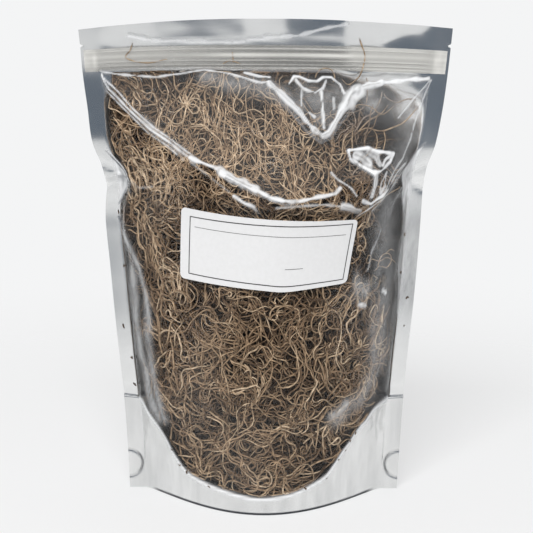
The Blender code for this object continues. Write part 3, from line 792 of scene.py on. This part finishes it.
gusset = put_sheet("gusset_sheet", gusset_grid(0.0), gusset_grid(GUSSET_FILM), GUSSET_FOIL)
shade = gusset_shade()
paint_sheet(gusset, "shade", shade, shade)
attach(gusset, "root")
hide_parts("gusset_film")

# %% [markdown]
# ## The zip
# Two ribbed strips of clearer, thicker plastic press into each other. Seen through the film they are five
# or six level lines, so each strip is a ribbed profile carried across the bag and flattened at its ends by
# the seals.

# %% Zip strips
ZIP_HEIGHT = 246.0
# Half the strip's height, how far across the bag it reaches and how many rows and columns it has
ZIP_HALF = 6.4
ZIP_END = 0.985
ZIP_ROWS, ZIP_COLUMNS = 65, 105
# Each line of a strip: its height on the strip, how far it stands out, how white it is and half its width
ZIP_LINES = ((-5.4, 0.5, 0.14, 0.5), (-3.6, 0.7, 0.22, 0.35), (-1.4, 0.8, 0.26, 0.4), (1.4, 0.5, 0.7, 1.1),
             (4.6, 0.5, 0.4, 0.4))
# How clear its lines are and how milky the plastic between them is, across the bag
LINES_SEEN = ((-97, 0.3), (-40, 0.35), (-8, 1.0), (42, 1.0), (52, 0.35), (97, 0.3))
ZIP_VEIL = ((-97, 0.2), (-60, 0.2), (-34, 0.1), (-8, 0.02), (42, 0.02), (50, 0.26), (97, 0.28))


def zip_strip(name, side):
    """A strip with ridges along it: its outer face stands out by a narrow bump on each line."""
    rise = np.linspace(-ZIP_HALF, ZIP_HALF, ZIP_ROWS)
    profile = sum(height * bell(rise - line, width) for line, height, _, width in ZIP_LINES)
    white = sum(share * bell(rise - line, width) for line, _, share, width in ZIP_LINES)
    u, z = np.meshgrid(np.linspace(-ZIP_END, ZIP_END, ZIP_COLUMNS), ZIP_HEIGHT + rise)
    s = u * POUCH_HALF
    flat = (1 - smooth_step(U_SEAL - 0.07, U_SEAL, np.abs(u)))[..., None]
    shell = film(u, z, side)
    outwards = side * np.array([0, 1, 0])
    outer = shell - outwards * (1.0 - 0.8 * profile[:, None, None]) * flat
    inner = shell - outwards * (1.35 * flat + 0.05)
    near, far = (outer, inner) if side == FRONT else (inner, outer)
    strip = put_sheet(name, near, far, ZIP_PLASTIC)
    on_seal = smooth_step(U_SEAL - 0.01, U_SEAL + 0.01, np.abs(u))
    crushed = 0.22 * on_seal * (1 + 0.25 * soft_waves(s * 3, z, 72, 9))
    upper = smooth_step(-ZIP_HALF, -1.5, rise)[:, None]
    veil = smooth_curve(s, ZIP_VEIL) * np.maximum(upper, smooth_step(40, 60, s))
    lines = white[:, None] * (0.75 + 0.25 * soft_waves(s, z * 3, 71, 60)) * smooth_curve(s, LINES_SEEN)
    haze = np.clip(crushed + veil + lines, 0, 0.9)
    paint_sheet(strip, "whiteness", haze, 0 * haze)
    return strip


for name, side, solid in (("zip_rib_lines", FRONT, "zip_rib_strip"),
                          ("zip_channel_lines", BACK, "zip_channel_strip")):
    strip = zip_strip(name, side)
    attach(strip, "root")
    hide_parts(solid)

# %% [markdown]
# ## The label
# A white paper label with round corners lies on the film and holds it flat. It is left blank apart from a
# plain printed frame, a thin rule and a line to write on. The print is a set of very thin ribbons just
# above the paper.


# %% Label paper and its print
# How far the creased film pulls the label out of square: its top and lower edges up, along the label
PULL_TOP = ((-49, 0.1), (-25, -0.6), (-3, -1.0), (20, -1.0), (49, -0.4))
PULL_LOW = ((-49, -0.9), (-20, -1.3), (0, -1.7), (9, -2.0), (15, -1.5), (32, 1.0), (49, 3.1))
LABEL_CORNER = 2.6
LABEL_COLUMNS, LABEL_ROWS, PRINT_COLUMNS = 120, 27, 120
# How far the paper's upper and lower faces and the print stand off the film
PAPER_TOP, PAPER_UNDER, PRINT_TOP = 1.05, 0.75, 1.15


def label_surface(s, t, out):
    """A point of the label: pulled out of square, turned by the tilt and lifted off the film."""
    up = t / LABEL_SIZE[1] + 0.5
    t = t + smooth_curve(s, PULL_TOP) * up + smooth_curve(s, PULL_LOW) * (1 - up)
    s = s + (s / LABEL_SIZE[0] + 0.5) * (4.4 * up - 1.8) + (0.5 - s / LABEL_SIZE[0]) * (1.0 - 1.8 * up)
    u = (LABEL_PLACE[0] + s * np.cos(LABEL_TILT) - t * np.sin(LABEL_TILT)) / POUCH_HALF
    z = LABEL_PLACE[1] + s * np.sin(LABEL_TILT) + t * np.cos(LABEL_TILT)
    return lifted(u, z, FRONT, out + 0.25 * soft_waves(s, t, 31, 60))


def paper():
    """White coated paper: a faint fibre grain and a soft gloss."""
    material, tree = new_material("label_paper")
    fibres = noise(tree, 0.5, detail=5.0)
    tone = ramp(tree, fibres, ((0.3, (0.715, 0.715, 0.715)), (0.7, (0.745, 0.745, 0.747))))
    plain_shader(tree, Base_Color=tone, Normal=bump(tree, noise(tree, 2.0), 0.15, 0.03), Roughness=0.42)
    return material


def ink():
    """Thin dark print, a little uneven."""
    material, tree = new_material("label_ink")
    tone = ramp(tree, noise(tree, 0.8), ((0.3, (0.012, 0.012, 0.013)), (0.7, (0.025, 0.025, 0.026))))
    plain_shader(tree, Base_Color=tone, Roughness=0.5)
    return material


def label_grid(out):
    """The label's face: rows shorten near the ends by the circle of the round corners."""
    half_w, half_h = LABEL_SIZE[0] / 2, LABEL_SIZE[1] / 2
    ends = half_w - LABEL_CORNER * (1 - np.cos(np.linspace(0, np.pi / 2, 7)))
    s = np.concatenate([-ends, np.linspace(-ends[-1], ends[-1], LABEL_COLUMNS)[1:-1], ends[::-1]])
    into = np.maximum(np.abs(s) - (half_w - LABEL_CORNER), 0)
    reach = half_h - LABEL_CORNER + np.sqrt(np.maximum(LABEL_CORNER**2 - into**2, 0))
    t = np.linspace(-1, 1, LABEL_ROWS)[:, None] * reach[None, :]
    return label_surface(s[None, :] + 0 * t, t, out)


label = put_sheet("label_sheet", label_grid(PAPER_TOP), label_grid(PAPER_UNDER), paper())
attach(label, "root")
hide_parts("label")


def ribbon_grid(start, end, width):
    """A thin straight ribbon on the label between two points."""
    along = np.linspace(0, 1, PRINT_COLUMNS)[None, :]
    side = np.array([-0.5, 0.5])[:, None] * width
    ds, dt = end[0] - start[0], end[1] - start[1]
    length = np.hypot(ds, dt)
    s = start[0] + along * ds - side * dt / length
    t = start[1] + along * dt + side * ds / length
    return label_surface(s, t, PRINT_TOP)


# The print is a little off the middle of the paper, so the frame's sides are given one by one
LEFT, RIGHT, LINE = -43.4, 46.0, 0.5
OUTER_LEFT, OUTER_RIGHT = LEFT - LINE / 2, RIGHT + LINE / 2
RIBBONS = (
    ((OUTER_LEFT, 14.9), (OUTER_RIGHT, 16.6), LINE),
    ((OUTER_LEFT, -15.6), (OUTER_RIGHT, -16.4), LINE),
    ((LEFT, -15.6), (LEFT, 14.9), LINE),
    ((RIGHT, -16.4), (RIGHT, 16.6), LINE),
    ((-40.7, 9.8), (43, 10.4), 0.22),
    ((10.5, -6.9), (20.5, -6.9), 0.24),
)
ribbons = np.array([ribbon_grid(*ribbon) for ribbon in RIBBONS])
faces = np.concatenate([grid_faces(2, PRINT_COLUMNS, first=2 * PRINT_COLUMNS * i)
                        for i in range(len(RIBBONS))])
print_lines = put_mesh("label_print", ribbons.reshape(-1, 3), faces, ink())
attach(print_lines, "root")

# %% [markdown]
# ## The moss
# Dried Spanish moss is a tangle of wiry grey-brown strands about a millimetre thick. Each one here is a
# three-sided tube along a curling path that lies a certain depth behind the film. The path is worked out on
# the flat film, where its heading turns and wobbles as it goes, and then the film's own function bends it
# round the bag. Neighbours share a drift, so that the tangle has locks and swirls.

# %% Where the moss is
# The bunch's left and right edges at a height, and its top across the bag
MOSS_LEFT = ((12, -30), (20, -48), (31, -57), (42, -62), (52, -66), (64, -69), (86, -73), (121, -77),
             (148, -82), (164, -89), (182, -86), (198, -92), (208, -92), (236, -92))
MOSS_RIGHT = ((12, 22), (22, 38), (33, 46), (44, 54), (54, 64), (74, 78), (104, 76), (117, 70), (130, 58),
              (152, 61), (163, 62), (180, 60), (190, 60), (201, 50), (212, 44), (236, 40))
MOSS_TOP = ((-92, 236), (-66, 234), (-37, 235), (-8, 233), (8, 225), (20, 218), (34, 211), (47, 207),
            (60, 196))


def moss_shell(s, z, depth, side):
    """A point behind the film and the film's normal there: depth counts from the creased film inwards, and
    ends near the bag's middle, well short of the other film."""
    u = np.clip(s / POUCH_HALF, -U_SEAL, U_SEAL)
    normal = film_normal(u, z, side)
    relief = front_relief(u, z) if side == FRONT else back_relief(u, z)
    near = film(u, z, side)
    room = np.abs(near[..., 1] - film(u, z, -side)[..., 1]) / 2
    depth = np.minimum(depth - relief, np.minimum(0.92 * room + 0.4, 2 * room - 0.9))
    return near - depth[..., None] * normal, normal


def in_moss(s, z, margin):
    """True where the bunch presses on the film."""
    inside = (s > smooth_curve(z, MOSS_LEFT) - margin) & (s < smooth_curve(z, MOSS_RIGHT) + margin)
    above_gusset = z > gusset_height(s / POUCH_HALF) + 1.5 - margin
    return inside & (z < smooth_curve(s, MOSS_TOP) + margin) & above_gusset


# %% Strand paths
# How many locks there are for each strand, how far a lock's strands lie apart, and their least depth
LOCK_SHARE = 0.45
LOCK_SPREAD = 2.4
LEAST_DEPTH = 0.75


def strand_paths(rng, s0, z0, depth, length, turn, wobble, drift, steps):
    """Strands on the flat film: the heading is a start, a steady turn and two wobbles added, and the path
    is the running sum of its cosine and sine, centred on the strand's own middle. Strands of one lock share
    their turn and wobble, and lie beside each other."""
    t = np.linspace(-0.5, 0.5, steps)[None, :]
    n = len(s0)
    lock = rng.integers(0, int(n * LOCK_SHARE), n)
    phases = rng.uniform(0, 2 * np.pi, (4, n, 1))[:, lock] + rng.normal(0, 0.25, (4, n, 1))
    rates = rng.uniform(5, 12, (2, n, 1))[:, lock]
    s0 = s0[lock] + rng.normal(0, LOCK_SPREAD, n)
    z0 = z0[lock] + rng.normal(0, LOCK_SPREAD, n)
    turn = turn[lock] + rng.normal(0, 0.5, n)
    start = drift[lock] + rng.normal(0, 0.12, n)
    wave = np.sin(rates[0] * t + phases[0]) + 0.5 * np.sin(2.1 * rates[1] * t + phases[1])
    heading = start[:, None] + turn[:, None] * t + wobble[lock][:, None] * wave
    step = (length / (steps - 1))[:, None]
    s, z = np.cumsum(np.cos(heading), 1) * step, np.cumsum(np.sin(heading), 1) * step
    s, z = s - s.mean(1, keepdims=True) + s0[:, None], z - z.mean(1, keepdims=True) + z0[:, None]
    dive = rng.uniform(0.6, 2.6, (n, 1)) * np.sin(rng.uniform(2, 8, (n, 1)) * t + phases[2])
    return s, z, np.maximum(depth[:, None] + dive, LEAST_DEPTH)


# %% Tubes with a colour and a map
# The share of its map tile that a tube fills, and the margin on each side
TILE_FILLED, TILE_MARGIN = 0.9, 0.05


def tube_mesh(name, path, normal, radius, tone):
    """Three-sided tubes: a ring of three points round each point of a path, thinner at the ends."""
    n, steps = path.shape[:2]
    ahead = unit(np.gradient(path, axis=1))
    side = unit(np.cross(ahead, normal))
    lift = np.cross(side, ahead)
    angle = np.radians([90, 210, 330])[:, None]
    taper = np.interp(np.arange(steps), [0, 1.5, steps - 4, steps - 1], [0.55, 1, 1, 0.35])[:, None, None]
    ring = np.cos(angle) * side[:, :, None] + np.sin(angle) * lift[:, :, None]
    points = path[:, :, None] + radius[:, None, None, None] * taper * ring
    first = np.arange(n)[:, None, None] * steps * 3
    base = first + 3 * np.arange(steps - 1)[:, None]
    here, beside = np.arange(3), np.roll(np.arange(3), -1)
    walls = np.stack([base + here, base + beside, base + beside + 3, base + here + 3], -1).reshape(-1, 4)
    ends = first + np.array([[0, 2, 1], 3 * (steps - 1) + np.arange(3)])
    obj = put_mesh(name, points.reshape(-1, 3), walls, MOSS, ends.reshape(-1, 3))
    colours = obj.data.color_attributes.new("strand_colour", "FLOAT_COLOR", "POINT")
    each = np.repeat(np.c_[tone, np.ones(n)], steps * 3, axis=0)
    colours.data.foreach_set("color", each.astype(np.float32).ravel())
    layer = obj.data.uv_layers.new(name="OFBake")
    layer.uv.foreach_set("vector", tube_map(n, steps).astype(np.float32))
    return obj


def tube_map(n, steps):
    """A small tile of the piece's own map for each tube: across it the three sides, along it the steps."""
    tiles = int(np.ceil(np.sqrt(n)))
    corner = np.stack([np.arange(n) % tiles, np.arange(n) // tiles], -1)[:, None, None, None, :]
    across = (np.arange(3)[None, None, :, None] + np.array([0, 1, 1, 0])) / 3
    along = (np.arange(steps - 1)[None, :, None, None] + np.array([0, 0, 1, 1])) / (steps - 1)
    walls = np.stack(np.broadcast_arrays(across, along), -1) * TILE_FILLED + TILE_MARGIN
    ends = np.array([[(0, 0), (2, 0), (1, 0)], [(0, 3), (1, 3), (2, 3)]]) / 3 * TILE_FILLED + TILE_MARGIN
    return np.concatenate([((corner + walls) / tiles).ravel(),
                           ((corner[:, :, :, 0] + ends) / tiles).ravel()])


def moss_material():
    """Dry plant fibre: dull, each strand in its own brown, with darker joints along it."""
    material, tree = new_material("dried_moss")
    shades = ((0.3, (0.45, 0.42, 0.39)), (0.7, (1.22, 1.22, 1.22)))
    patchy = ramp(tree, noise(tree, 0.35, detail=4.0), shades)
    tone = mix_colours(tree, 1.0, painted(tree, "strand_colour", "Color"), patchy, way="MULTIPLY")
    plain_shader(tree, Base_Color=tone, Roughness=0.6)
    return material


MOSS = moss_material()
# The five browns, from dark to light
TONES = np.array([(0.028, 0.016, 0.009), (0.11, 0.068, 0.04), (0.27, 0.178, 0.108), (0.47, 0.335, 0.213),
                  (0.7, 0.55, 0.39)])


def strand_tones(rng, z, depth, light):
    """Colours between the five browns, with shade and light painted in: deeper strands are darker, as
    painted shade of the tangle, those above the shoulder are lighter, as painted light, and light moves a
    whole set up the scale."""
    level = 2.4 + light + rng.normal(0, 0.8, len(depth)) - 0.27 * depth + 0.12 * smooth_step(178, 200, z)
    level = np.clip(level, 0, len(TONES) - 1.001)
    low, part = level.astype(int), (level % 1)[:, None]
    return TONES[low] * (1 - part) + TONES[low + 1] * part


# %% The bunch, layer by layer
# The highest that a strand reaches, and how far across the bag behind each film
MOSS_CEILING = 239
MOSS_REACH = {FRONT: 94, BACK: 88}


def moss_layer(name, seed, count, side, depths, light, thickness, steps, margin=0, low=8):
    """Strands whose middles are spread evenly over the bunch's outline, between two depths."""
    rng = np.random.default_rng(seed)
    s, z = rng.uniform(-93, 90, 6 * count), rng.uniform(low, 238, 6 * count)
    keep = in_moss(s, z, margin) & (np.abs(s) < 92)
    s, z = s[keep][:count], z[keep][:count]
    n = len(s)
    depth = rng.uniform(*depths, n)
    drift = 1.9 * soft_waves(s, z, 41, 60) + rng.normal(0, 0.9, n)
    turn = rng.normal(0, 1, n) * rng.choice((1.6, 5.0), n, p=(0.55, 0.45))
    length, wobble = rng.uniform(18, 50, n), rng.uniform(0.3, 1.0, n)
    path_s, path_z, path_depth = strand_paths(rng, s, z, depth, length, turn, wobble, drift, steps)
    path_z = np.maximum(path_z, gusset_height(np.clip(path_s / POUCH_HALF, -1, 1)) + 1.2)
    path_z = np.minimum(path_z, MOSS_CEILING)
    reach = MOSS_REACH[side] - 6 * smooth_step(212, 236, path_z)
    path, normal = moss_shell(np.clip(path_s, -reach, reach), path_z, path_depth, side)
    radius = rng.uniform(*thickness, n) / 2
    strands = tube_mesh(name, path, normal, radius, strand_tones(rng, z, depth, light))
    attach(strands, "root")


# Each layer: its name, seed, number of strands, side, depths, painted lightness, thicknesses and steps
# along a strand, and for some how far past the bunch's outline it reaches and its lowest height
LAYERS = (
    ("moss_front_top", 56, 220, FRONT, (0.6, 1.6), 0.7, (0.95, 1.5), 17, -3, 176),
    ("moss_front_a", 51, 900, FRONT, (0.9, 2.6), 0.75, (0.7, 1.35), 17),
    ("moss_front_b", 52, 1300, FRONT, (2.4, 5.5), 0.3, (0.7, 1.35), 17),
    ("moss_front_c", 53, 1500, FRONT, (5.0, 9.0), 0.1, (0.75, 1.4), 14),
    ("moss_front_d", 54, 1300, FRONT, (8.5, 13.0), 0.0, (1.0, 1.5), 12, 5),
    ("moss_back", 55, 900, BACK, (0.8, 6.0), 0.2, (1.0, 1.5), 12, 12),
)
for layer in LAYERS:
    moss_layer(*layer)


# %% [markdown]
# ## Strays and crumbs
# A few strands lie apart from the bunch, on the bare film or caught on the zip, and crumbs gather along the
# seals. Single strands on bare film draw the eye, so the clearest ones run through a few points each, and
# sparse random ones are added between them.

# %% Strays and crumbs
# Single strands that lie apart from the bunch: each runs through points on the film, with its thickness
STRAYS = (
    (0.9, ((-75.5, 254), (-76.5, 251), (-79.5, 247.5), (-76, 245.5), (-72.5, 244.5), (-65, 244),
           (-55.5, 245.8))),
    (0.8, ((-18.5, 249), (-18.3, 246), (-18, 243.5))),
    (0.6, ((-24, 243), (-20, 244.5), (-14, 243))),
    (1.0, ((53, 256), (54, 253.5), (56, 248.5), (55.5, 243.5), (53.5, 238), (50, 234.5), (46.5, 233),
           (43, 236))),
    (0.9, ((28, 236.5), (28.8, 238.5), (31, 240.3), (34, 241), (37.5, 240), (39, 237), (38, 234))),
    (1.0, ((36, 186), (41, 195), (45, 201), (49, 207), (55, 212), (61, 217), (68, 220), (71.5, 224))),
    (1.1, ((30, 198), (42, 206.5), (51, 210), (59.5, 213), (69.5, 210.5), (75.5, 211.5), (84, 214),
           (91, 221.5))),
    (0.8, ((46, 219), (49, 222), (53.5, 224), (60.5, 223), (68, 219), (75, 223))),
    (0.8, ((62, 213), (66, 208), (66, 202), (61, 200))),
    (0.9, ((70, 211), (72, 205), (70, 199), (66, 196))),
    (0.9, ((50, 160), (57.5, 166), (64.5, 169.5), (72, 173), (80.5, 175), (89.5, 177.5))),
    (0.7, ((70.5, 172), (73, 177), (74.5, 181.5))),
    (0.7, ((62, 168), (67, 166), (70, 162))),
    (0.7, ((63, 141), (64, 138), (67, 138), (68, 141), (65, 142), (63, 139))),
    (0.7, ((66, 140), (70, 139), (74, 137.5), (80, 138.5), (86, 136.5), (91, 133.5))),
    (0.7, ((72, 134), (74, 139), (78, 141), (83, 140), (85, 136), (81, 133), (76, 134.5))),
    (0.7, ((84.5, 131.5), (80, 133), (76, 134), (72, 132))),
    (0.7, ((80, 141), (84, 142.5), (88, 141))),
    (0.9, ((48, 40), (53, 42), (60, 42), (68, 44))),
    (0.8, ((46, 34), (52, 37), (56, 36))),
)
CRUMBS = ((53.5, 37), (49, 31.5), (45, 27), (58, 41), (-58, 30), (-50, 22), (-46, 19), (-30, 13), (36, 17),
          (24, 13), (100.5, 112), (101, 96), (-101, 95), (-97, 131), (-98, 78), (-99, 62), (96, 128),
          (97, 150), (-97, 160))
# How many random strands are added, the points along each strand, and the crumbs' depth, which is below 0
# because they cling to the film's outer side
LOOSE_STRANDS = 34
STRAY_STEPS = 24
CRUMB_DEPTH = -0.35


def through_points(points):
    """A smooth path through points: each coordinate is a smooth curve of the distance walked."""
    points = np.array(points, float)
    walked = np.r_[0, np.cumsum(np.hypot(*np.diff(points, axis=0).T))]
    at = np.linspace(0, walked[-1], STRAY_STEPS)
    return [smooth_curve(at, list(zip(walked, points[:, k]))) for k in (0, 1)]


def put_strays():
    """The placed strands, sparse random ones at the bunch's upper right, and crumbs along the seals."""
    rng = np.random.default_rng(81)
    n = LOOSE_STRANDS
    placed = np.array([through_points(points) for _, points in STRAYS])
    loose_s, loose_z, _ = strand_paths(
        rng, s0=rng.uniform(46, 84, n), z0=rng.uniform(172, 224, n), depth=np.ones(n),
        length=rng.uniform(12, 34, n), turn=rng.normal(0, 3, n), wobble=rng.uniform(0.3, 0.9, n),
        drift=rng.uniform(0, 6.28, n), steps=STRAY_STEPS)
    offsets = rng.uniform(-1.6, 1.6, (len(CRUMBS), 4))
    crumbs = np.array([through_points([(s, z), (s + a, z + b), (s + c, z + d)])
                       for (s, z), (a, b, c, d) in zip(CRUMBS, offsets)])
    s = np.concatenate([placed[:, 0], np.clip(loose_s, -88, 88), crumbs[:, 0]])
    z = np.concatenate([placed[:, 1], loose_z, crumbs[:, 1]])
    thick = np.r_[[width for width, _ in STRAYS], rng.uniform(0.7, 1.1, n),
                  rng.uniform(0.5, 0.9, len(CRUMBS))]
    tone = np.concatenate([np.tile(TONES[3], (len(STRAYS), 1)), TONES[2] + rng.uniform(0, 0.2, (n, 1)),
                           np.tile(TONES[1], (len(CRUMBS), 1))])
    depth = 0.9 + 1.5 * (z < 232) * rng.uniform(0, 2, (len(s), 1))
    depth[-len(CRUMBS):] = CRUMB_DEPTH
    u = s / POUCH_HALF
    path = lifted(u, z, FRONT, front_relief(u, z) - depth)
    strays = tube_mesh("moss_strays", path, film_normal(u, z, FRONT), thick / 2, tone)
    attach(strays, "root")


put_strays()


# %% [markdown]
# ## The middle of the bunch
# Between the outer strands one looks into the dark of the tangle. Strands could fill all of it, but nobody
# would see them, so a lumpy dark body with the bunch's outline stands in for the deep part, and its
# near-black colour is painted shade.

# %% The dark middle of the bunch
CORE_ROWS, CORE_COLUMNS = 90, 70
CORE_LOW, CORE_HIGH = 14, 228
CORE_DEPTH = 12.5


def core_material():
    """The deep part of the tangle, in painted shade: near black, with short streaks of brown."""
    material, tree = new_material("moss_depths")
    streaks = noise(tree, 0.55, stretch=(1, 1, 0.6), detail=6.0, roughness=0.65)
    browns = ((0.35, (0.012, 0.008, 0.006)), (0.55, (0.05, 0.032, 0.02)), (0.72, (0.15, 0.095, 0.06)))
    plain_shader(tree, Base_Color=ramp(tree, streaks, browns), Normal=bump(tree, streaks, 1.0, 1.5),
                 Roughness=0.9)
    return material


def core_grid(side):
    """The bunch's outline shrunk inwards, and kept well behind the film by an uneven depth."""
    share = np.linspace(0, 1, CORE_ROWS)[:, None]
    across = np.linspace(0, 1, CORE_COLUMNS)[None, :]
    level = CORE_LOW + share * (CORE_HIGH - CORE_LOW)
    left, right = smooth_curve(level, MOSS_LEFT) + 5, smooth_curve(level, MOSS_RIGHT) - 5
    s = left + across * (right - left)
    low, high = gusset_height(s / POUCH_HALF) + 3, smooth_curve(s, MOSS_TOP) - 6
    z = low + share * (high - low)
    edge = np.minimum(smooth_step(0, 0.12, across) * smooth_step(0, 0.12, 1 - across),
                      smooth_step(0, 0.06, share) * smooth_step(0, 0.1, 1 - share))
    depth = CORE_DEPTH + 1.6 * soft_waves(s, z, 61 + side, 16) + 1.2 * soft_waves(s, z, 63 + side, 6)
    points, _ = moss_shell(s, z, depth, side)
    centre = (film(s / POUCH_HALF, z, FRONT) + film(s / POUCH_HALF, z, BACK)) / 2
    return centre + (points - centre) * (0.05 + 0.95 * edge)[..., None]


core = put_sheet("moss_core", core_grid(FRONT), core_grid(BACK), core_material())
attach(core, "root")
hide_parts("moss_bunch")

# %% [markdown]
# ## The stage
# A pale floor that runs into a bright backdrop, a bright ceiling and a darker room in front. The dark band
# in front is what gives the foil its blue-grey patches: a mirror needs something dark to look at. The room
# could be built from walls and lamps, but a sky worked out from the direction is quicker and gives no
# shadows of its own. The main lamp is kept out of reflections, and the thin strips only make them.


# %% Floor
def slope(tree, source, low, high):
    """A smooth step from 0 at low to 1 at high, which falls instead where low is the larger."""
    flip = low > high
    made = node(tree, "ShaderNodeMapRange", Value=source, From_Min=min(low, high), From_Max=max(low, high),
                To_Min=float(flip), To_Max=float(not flip))
    made.interpolation_type = "SMOOTHSTEP"
    return made.outputs["Result"]


def floor_material():
    """A softly glowing matt white near the pouch, as on a light table, fading with distance into the white
    of the room, so that no horizon shows."""
    material, tree = new_material("studio_floor")
    matt = node(tree, "ShaderNodeBsdfDiffuse", Color=(0.87, 0.875, 0.88, 1)).outputs["BSDF"]
    glow = node(tree, "ShaderNodeEmission", Color=(0.885, 0.885, 0.885, 1)).outputs["Emission"]
    clear = node(tree, "ShaderNodeBsdfTransparent").outputs["BSDF"]
    away = tree.nodes.new("ShaderNodeVectorMath")
    away.operation = "LENGTH"
    feed(tree, away.inputs[0], node(tree, "ShaderNodeTexCoord").outputs["Object"])
    fade = slope(tree, away.outputs["Value"], 0.15, 0.6)
    surface = mix_shaders(tree, fade, mix_shaders(tree, 0.55, matt, glow), clear)
    node(tree, "ShaderNodeOutputMaterial", Surface=surface)
    return material


# The floor reaches well past where it has faded to nothing, and lies a hair below the pouch
FLOOR_RADIUS = 900
FLOOR_LEVEL = -0.05
radius, turn = np.meshgrid(np.geomspace(1, FLOOR_RADIUS, 24), np.linspace(0, 2 * np.pi, 65), indexing="ij")
disc = np.stack([radius * np.cos(turn), radius * np.sin(turn), np.full(radius.shape, FLOOR_LEVEL)], -1)
floor = put_mesh("studio_floor", disc.reshape(-1, 3), grid_faces(*radius.shape), floor_material())


# %% World
def background(tree, colour, strength=1.0):
    """A sky of one colour, or of the colours that a socket gives."""
    return node(tree, "ShaderNodeBackground", Color=colour, Strength=strength).outputs["Background"]


def mirrored_room(tree, x, y, z):
    """What the pouch mirrors, worked out from the direction: a white floor, a dark room in front and a grey
    one behind, a bright ceiling, and two side walls whose front halves glow."""
    height = node(tree, "ShaderNodeMapRange", Value=z, From_Min=-1.0).outputs["Result"]
    front_room = ramp(tree, height, (
        (0.0, (0.8, 0.81, 0.82)), (0.49, (0.78, 0.785, 0.79)), (0.515, (0.07, 0.095, 0.13)),
        (0.72, (0.09, 0.12, 0.16)), (0.84, (0.75, 0.76, 0.78)), (1.0, (0.9, 0.9, 0.9))))
    back_room = ramp(tree, height, (
        (0.0, (0.74, 0.745, 0.75)), (0.47, (0.62, 0.625, 0.63)), (0.53, (0.26, 0.27, 0.29)),
        (0.7, (0.34, 0.35, 0.37)), (0.86, (0.8, 0.8, 0.81)), (1.0, (0.9, 0.9, 0.9))))
    room = mix_colours(tree, slope(tree, y, -0.75, -0.15), front_room, back_room)
    beside = slope(tree, maths(tree, "ABSOLUTE", x, 0.0), 0.72, 0.86)
    walls = maths(tree, "MULTIPLY", beside, slope(tree, z, 0.75, 0.45))
    glow = maths(tree, "MULTIPLY", maths(tree, "MULTIPLY", walls, slope(tree, y, 0.2, -0.1)), 1.6)
    both = tree.nodes.new("ShaderNodeAddShader")
    feed(tree, both.inputs[0], background(tree, room))
    feed(tree, both.inputs[1], background(tree, (1, 1, 1, 1), glow))
    return both.outputs["Shader"]


def set_world():
    """What lights the pouch, what it mirrors and what is seen behind it are three skies, chosen by kind of
    ray."""
    world = bpy.data.worlds.new("studio")
    bpy.context.scene.world = world
    world.use_nodes = True
    tree = world.node_tree
    tree.nodes.clear()
    direction = node(tree, "ShaderNodeTexCoord").outputs["Generated"]
    x, y, z = node(tree, "ShaderNodeSeparateXYZ", Vector=direction).outputs
    greys = ((0.0, (0.42, 0.42, 0.42)), (0.5, (0.36, 0.36, 0.37)), (1.0, (0.58, 0.58, 0.58)))
    lights = background(tree, ramp(tree, slope(tree, z, -1.0, 1.0), greys))
    ray = node(tree, "ShaderNodeLightPath").outputs
    unseen = mix_shaders(tree, ray["Is Glossy Ray"], lights, mirrored_room(tree, x, y, z))
    seen = background(tree, (0.905, 0.91, 0.915, 1))
    node(tree, "ShaderNodeOutputWorld", Surface=mix_shaders(tree, ray["Is Camera Ray"], unseen, seen))
    print("world:", len(tree.nodes), "nodes")


set_world()


# %% Lamps
POUCH_MIDDLE = np.array([0, 0, 0.13])


def axes_matrix(right, up, back, place):
    """An object's matrix from its three directions and its place in metres."""
    return Matrix([[*row, p] for row, p in zip(np.stack([right, up, back], 1), place)] + [[0, 0, 0, 1]])


def softbox(name, place, width, height, power):
    """A rectangular lamp at a place in metres, aimed at the middle of the pouch."""
    lamp = bpy.data.lights.new(name, "AREA")
    lamp.shape, lamp.size, lamp.size_y, lamp.energy = "RECTANGLE", width, height, power
    obj = bpy.data.objects.new(name, lamp)
    bpy.context.scene.collection.objects.link(obj)
    back = unit(place - POUCH_MIDDLE)
    right = unit(np.cross((0, 0, 1), back))
    obj.matrix_world = axes_matrix(right, np.cross(back, right), back, place)
    print(f"{name}: {power} W")
    return obj


key = softbox("key_softbox", np.array([-0.35, -2.0, 2.0]), 1.4, 1.0, 62)
key.visible_glossy = False
for index, turn in enumerate(np.radians((-60, -30, 0, 30, 60))):
    place = POUCH_MIDDLE + 1.2 * np.array([0.57 * np.sin(turn), -0.57 * np.cos(turn), 0.82])
    strip = softbox(f"strip_{index}", place, 0.4, 0.09, 0.25)
    strip.visible_diffuse = False

# %% [markdown]
# ## The camera
# The photograph's camera looks down on the pouch by about twelve degrees from well over a metre away, and
# is turned a third of a degree, so its three directions are written out and put in a matrix.

# %% Camera
CAMERA_PLACE = np.array([1.15, -1222.7, 390.65])
CAMERA_DOWN = np.radians(12.0)
CAMERA_ROLL = np.radians(0.3)
FOCAL_LENGTH, SENSOR_WIDTH = 148.72, 36
look = np.array([0, np.cos(CAMERA_DOWN), -np.sin(CAMERA_DOWN)])
level = np.array([1.0, 0, 0])
upright = np.cross(level, look)
right = np.cos(CAMERA_ROLL) * level + np.sin(CAMERA_ROLL) * upright
up = -np.sin(CAMERA_ROLL) * level + np.cos(CAMERA_ROLL) * upright
lens = bpy.data.cameras.new("camera")
lens.lens, lens.sensor_width = FOCAL_LENGTH, SENSOR_WIDTH
camera = bpy.data.objects.new("camera", lens)
bpy.context.scene.collection.objects.link(camera)
camera.matrix_world = axes_matrix(right, up, -look, CAMERA_PLACE * MM)
bpy.context.scene.camera = camera
bpy.context.scene.view_settings.view_transform = "Standard"
print("camera:", CAMERA_PLACE, "mm, lens", FOCAL_LENGTH)
